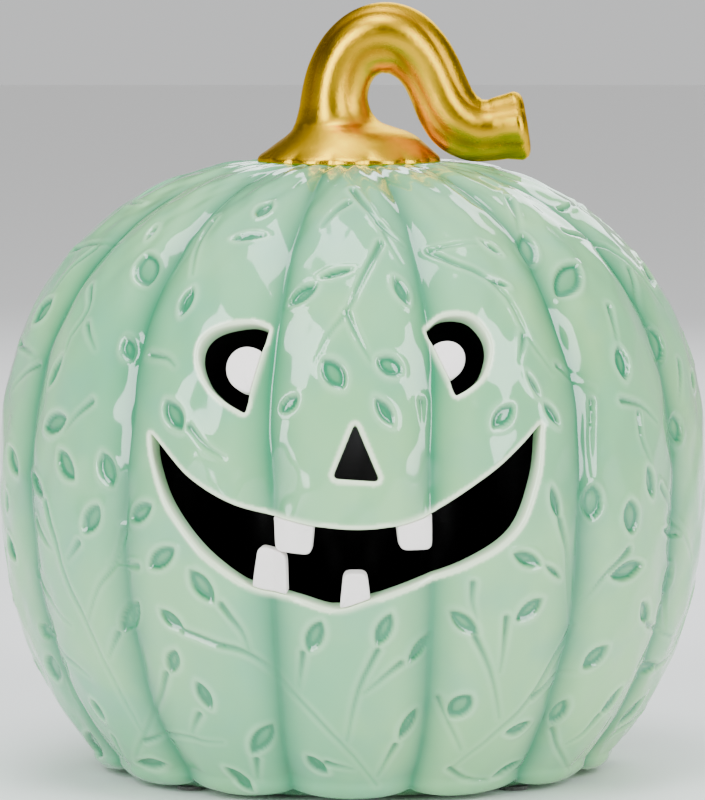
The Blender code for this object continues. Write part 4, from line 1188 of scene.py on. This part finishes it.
def board_material():
    """Green lacquered board: copper runs under the lacquer and tinned pads."""
    made = Shader("lacquered_board", IOR=1.5, Coat_Weight=0.4)
    black, white = (0.0, 0.0, 0.0), (1.0, 1.0, 1.0)
    tracks = made.node("ShaderNodeTexBrick", {"offset": 0.5, "squash": 1.0},
                       {"Vector": made.place(), "Color1": black, "Color2": black,
                        "Mortar": white, "Scale": 190.0, "Mortar Size": 0.09,
                        "Brick Width": 0.9, "Row Height": 0.34}, "Fac")
    dots = made.node("ShaderNodeTexVoronoi", {"feature": "F1"},
                     {"Vector": made.place(), "Scale": 330.0, "Randomness": 0.35}, "Distance")
    pad = 1 - dots.between(0.16, 0.20)
    base = made.mix(tracks * 0.6, colours().board, (0.05, 0.24, 0.08))
    made.set("Metallic", pad)
    return made.finished(made.mix(pad, base, (0.60, 0.58, 0.54)),
                         0.34 + 0.12 * made.noise(300.0), tracks * 0.5 + pad * 0.6, 0.00008, 0.6)


def dome_material():
    """Frosted milk-white plastic that lets light through."""
    made = Shader("frosted_dome", IOR=1.48, Subsurface_Weight=0.35, Subsurface_Scale=0.004,
                  Transmission_Weight=0.12)
    frost = made.noise(1800.0, 3.0, 0.7)
    base = made.mix(frost, (0.88, 0.86, 0.80), (0.80, 0.78, 0.72))
    return made.finished(base, 0.42 + 0.2 * frost, frost, 0.00006, 0.5)


def led_material():
    """A clear, faintly amber lens with its phosphor below the dome."""
    made = Shader("amber_lens", IOR=1.5, Coat_Weight=0.3)
    z = made.node("ShaderNodeSeparateXYZ", {}, {0: made.place()}, "Z")
    glow = z.between(0.0270, 0.0315)
    tint = made.noise(700.0, 2.0)
    made.set("Base Color", made.mix(glow, (0.62, 0.50, 0.20), (0.93, 0.80, 0.46)))
    made.set("Roughness", 0.06 + 0.08 * tint)
    return made.material


def dress(node, material):
    """Give a carried-over node its slot and its finish."""
    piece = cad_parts[node]
    piece.data.materials.clear()
    piece.data.materials.append(material)
    return piece


# ------------------------------------------------------------------ operators
FLOOR_HALF = 6
SKY_STRENGTH = 0.95
LIGHT_TINT, LIGHT_AIM = (0.93, 0.97, 1.0), Vector((0, 0, 0.1))
CAMERA_PLACE, CAMERA_DOWN, CAMERA_LENS = (0.0, -1.4936, 0.2435), 5.3, 235.8
# how bright the room is from level (0) to overhead (1)
SKY_STOPS = [
    (0.0, (0.74, 0.745, 0.75)), (0.16, (0.68, 0.685, 0.69)), (0.36, (0.14, 0.14, 0.14)),
    (0.60, (0.18, 0.18, 0.18)), (0.84, (1.25, 1.25, 1.25)), (1.0, (1.5, 1.5, 1.5)),
]
# name, place, (width, height), power
STUDIO_LIGHTS = [
    ("left_box", (-0.86, -0.98, 0.68), (0.48, 1.30), 24.0),
    ("right_box", (0.98, -0.88, 0.66), (0.44, 1.30), 20.0),
    ("top_box", (-0.1, -0.1, 1.35), (0.7, 0.5), 9.0),
    ("back_box", (0.3, 1.2, 0.8), (0.9, 0.7), 9.0),
]


class PUMPKIN_OT_shell(bpy.types.Operator):
    """Make the glazed shell with its grooves, leaves, twigs and carved face."""

    bl_idname = "pumpkin.shell"
    bl_label = "Glazed shell"

    def execute(self, context):
        looks = [glaze_material(), inside_material()]
        insets = inset_loops()
        for name, first, ribs, per_rib in SHELL_PARTS:
            cut = name == "pumpkin_front"
            build_shell_part(name, first, ribs, per_rib, looks,
                             face_loops() if cut else (), list(insets.values()))
        return {"FINISHED"}


class PUMPKIN_OT_face_insets(bpy.types.Operator):
    """Make the matte teeth and pupils that fit in the cut edges."""

    bl_idname = "pumpkin.face_insets"
    bl_label = "Teeth and pupils"

    def execute(self, context):
        look = bisque_material()
        for name, loop in inset_loops().items():
            wall_block(name, loop, look)
        return {"FINISHED"}


class PUMPKIN_OT_stem(bpy.types.Operator):
    """Make the gold stem with its lobed foot, creases and rounded tip."""

    bl_idname = "pumpkin.stem"
    bl_label = "Gold stem"

    def execute(self, context):
        points, hollow = stem_surface()
        faces = grid_faces(*points.shape[:2], close_columns=True).tolist()
        # the crease field carries the painted shade of the stem's creases
        made = make_piece("gold_stem", points, faces, [gold_material()],
                          fields={"crease": hollow})
        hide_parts("stem")
        return {"FINISHED"}


class PUMPKIN_OT_base(bpy.types.Operator):
    """Finish the felt pads and the silicone ring."""

    bl_idname = "pumpkin.base"
    bl_label = "Pads and ring"

    def execute(self, context):
        felt = felt_material()
        for i in range(1, 5):
            dress(f"foot_pad_{i}", felt)
        dress("retaining_ring",
              moulded("grey_silicone", (0.52, 0.52, 0.50), 0.50, 900.0, 0.00003))
        return {"FINISHED"}


class PUMPKIN_OT_light_unit(bpy.types.Operator):
    """Finish the case, lid, door, switch and the parts inside the light unit."""

    bl_idname = "pumpkin.light_unit"
    bl_label = "Light unit"

    def execute(self, context):
        case = moulded("black_case", (0.016, 0.016, 0.017), 0.40)
        nickel = nickel_material()
        finishes = [
            ("light_case", "case_plastic", case),
            ("case_lid", "case_plastic", case),
            ("battery_door", "case_plastic", case),
            ("switch_knob", "knob_plastic", moulded("pale_knob", (0.70, 0.70, 0.68), 0.34)),
            ("switch_body", "chip_plastic", moulded("switch_black", (0.02, 0.02, 0.021), 0.46)),
            ("timer_chip", "chip_plastic", moulded("chip_black", (0.012, 0.012, 0.013), 0.38)),
            ("circuit_board", "circuit_board", board_material()),
            ("led", "led_lens", led_material()),
            ("light_dome", "dome_plastic", dome_material()),
            ("battery_lead_red", "lead_red", moulded("red_lead", (0.42, 0.015, 0.012), 0.40)),
            ("battery_lead_black", "lead_black",
             moulded("black_lead", (0.014, 0.014, 0.015), 0.42)),
        ]
        finishes += [(f"lid_screw_{i}", "nickel", nickel) for i in range(1, 5)]
        finishes += [(f"contact_spring_{i}", "nickel", nickel) for i in range(1, 4)]
        finishes += [(f"contact_{kind}_{side}", "nickel", nickel)
                     for kind in ("tab", "bridge") for side in ("left", "right")]
        for i in range(1, 4):
            low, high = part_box(f"battery_{i}")
            finishes.append((f"battery_{i}", "cell_label", cell_material(low.x, high.x)))
        for node, slot, material in finishes:
            dress(node, material)
        return {"FINISHED"}


class PUMPKIN_OT_stage(bpy.types.Operator):
    """Set the pale floor, the soft lights and the camera."""

    bl_idname = "pumpkin.stage"
    bl_label = "Stage"

    def execute(self, context):
        floor = bpy.data.meshes.new("floor")
        corners = [(x * FLOOR_HALF, y * FLOOR_HALF, 0)
                   for x, y in ((-1, -1), (1, -1), (1, 1), (-1, 1))]
        floor.from_pydata(corners, [], [(0, 1, 2, 3)])
        pale = Shader("pale_floor", Roughness=0.6)
        pale.set("Base Color", (0.90, 0.90, 0.90))
        # clear from below, so that the underside can be seen
        below = pale.node("ShaderNodeNewGeometry", {}, {}, "Backfacing")
        clear = pale.node("ShaderNodeBsdfTransparent", {}, {})
        seen = pale.node("ShaderNodeMixShader", {},
                         {0: below, 1: Wire(pale, pale.surface.outputs[0]), 2: clear})
        pale.feed(pale.tree.nodes["Material Output"].inputs["Surface"], seen)
        floor.materials.append(pale.material)
        ground = bpy.data.objects.new("floor", floor)
        bpy.context.scene.collection.objects.link(ground)
        world = bpy.data.worlds.new("studio")
        world.use_nodes = True
        sky = world.node_tree
        way = sky.nodes.new("ShaderNodeTexCoord").outputs["Generated"]
        height = sky.nodes.new("ShaderNodeSeparateXYZ")
        ramp = sky.nodes.new("ShaderNodeValToRGB")
        Shader.set_stops(ramp.color_ramp, SKY_STOPS)
        sky.links.new(way, height.inputs[0])
        sky.links.new(height.outputs["Z"], ramp.inputs["Fac"])
        sky.links.new(ramp.outputs["Color"], sky.nodes["Background"].inputs["Color"])
        sky.nodes["Background"].inputs["Strength"].default_value = SKY_STRENGTH
        bpy.context.scene.world = world
        for name, place, size, power in STUDIO_LIGHTS:
            self.add_light(name, place, size, power)
        self.add_camera()
        return {"FINISHED"}

    @staticmethod
    def add_light(name, place, size, power):
        """A soft box that faces the pumpkin."""
        lamp = bpy.data.lights.new(name, "AREA")
        lamp.shape = "RECTANGLE"
        lamp.size, lamp.size_y = size
        lamp.energy = power
        lamp.color = LIGHT_TINT
        made = bpy.data.objects.new(name, lamp)
        made.location = place
        made.rotation_mode = "QUATERNION"
        made.rotation_quaternion = (Vector(place) - LIGHT_AIM).to_track_quat("Z", "Y")
        bpy.context.scene.collection.objects.link(made)

    @staticmethod
    def add_camera():
        """The camera in front and a little above, level with the crown."""
        lens = bpy.data.cameras.new("camera")
        lens.lens = CAMERA_LENS
        lens.sensor_width = 36
        lens.clip_start = 0.05
        lens.clip_end = 30
        made = bpy.data.objects.new("camera", lens)
        made.location = CAMERA_PLACE
        made.rotation_euler = (math.radians(90 - CAMERA_DOWN), 0, 0)
        bpy.context.scene.collection.objects.link(made)
        bpy.context.scene.camera = made


class PUMPKIN_PT_panel(bpy.types.Panel):
    """The lantern's pieces in the sidebar."""

    bl_idname = "PUMPKIN_PT_panel"
    bl_label = "Pumpkin lantern"
    bl_space_type = "VIEW_3D"
    bl_region_type = "UI"
    bl_category = "Pumpkin"

    def draw(self, context):
        column = self.layout.column(align=True)
        for step in STEPS:
            column.operator(step.bl_idname)
        for group in (context.scene.pumpkin_sizes, context.scene.pumpkin_colours):
            box = self.layout.box()
            for key in group.__annotations__:
                box.prop(group, key)


STEPS = [PUMPKIN_OT_shell, PUMPKIN_OT_face_insets, PUMPKIN_OT_stem, PUMPKIN_OT_base,
         PUMPKIN_OT_light_unit, PUMPKIN_OT_stage]
CLASSES = [PumpkinSizes, PumpkinColours, *STEPS, PUMPKIN_PT_panel]


def register():
    """Register the classes and hang the sizes and colours on the scene."""
    for cls in CLASSES:
        bpy.utils.register_class(cls)
    bpy.types.Scene.pumpkin_sizes = PointerProperty(type=PumpkinSizes)
    bpy.types.Scene.pumpkin_colours = PointerProperty(type=PumpkinColours)


def unregister():
    """Take everything off again."""
    del bpy.types.Scene.pumpkin_colours
    del bpy.types.Scene.pumpkin_sizes
    for cls in reversed(CLASSES):
        bpy.utils.unregister_class(cls)


def main():
    """Register the classes and make every piece in order."""
    register()
    for step in STEPS:
        getattr(bpy.ops.pumpkin, step.bl_idname.split(".")[1])()


if __name__ == "__main__":
    main()
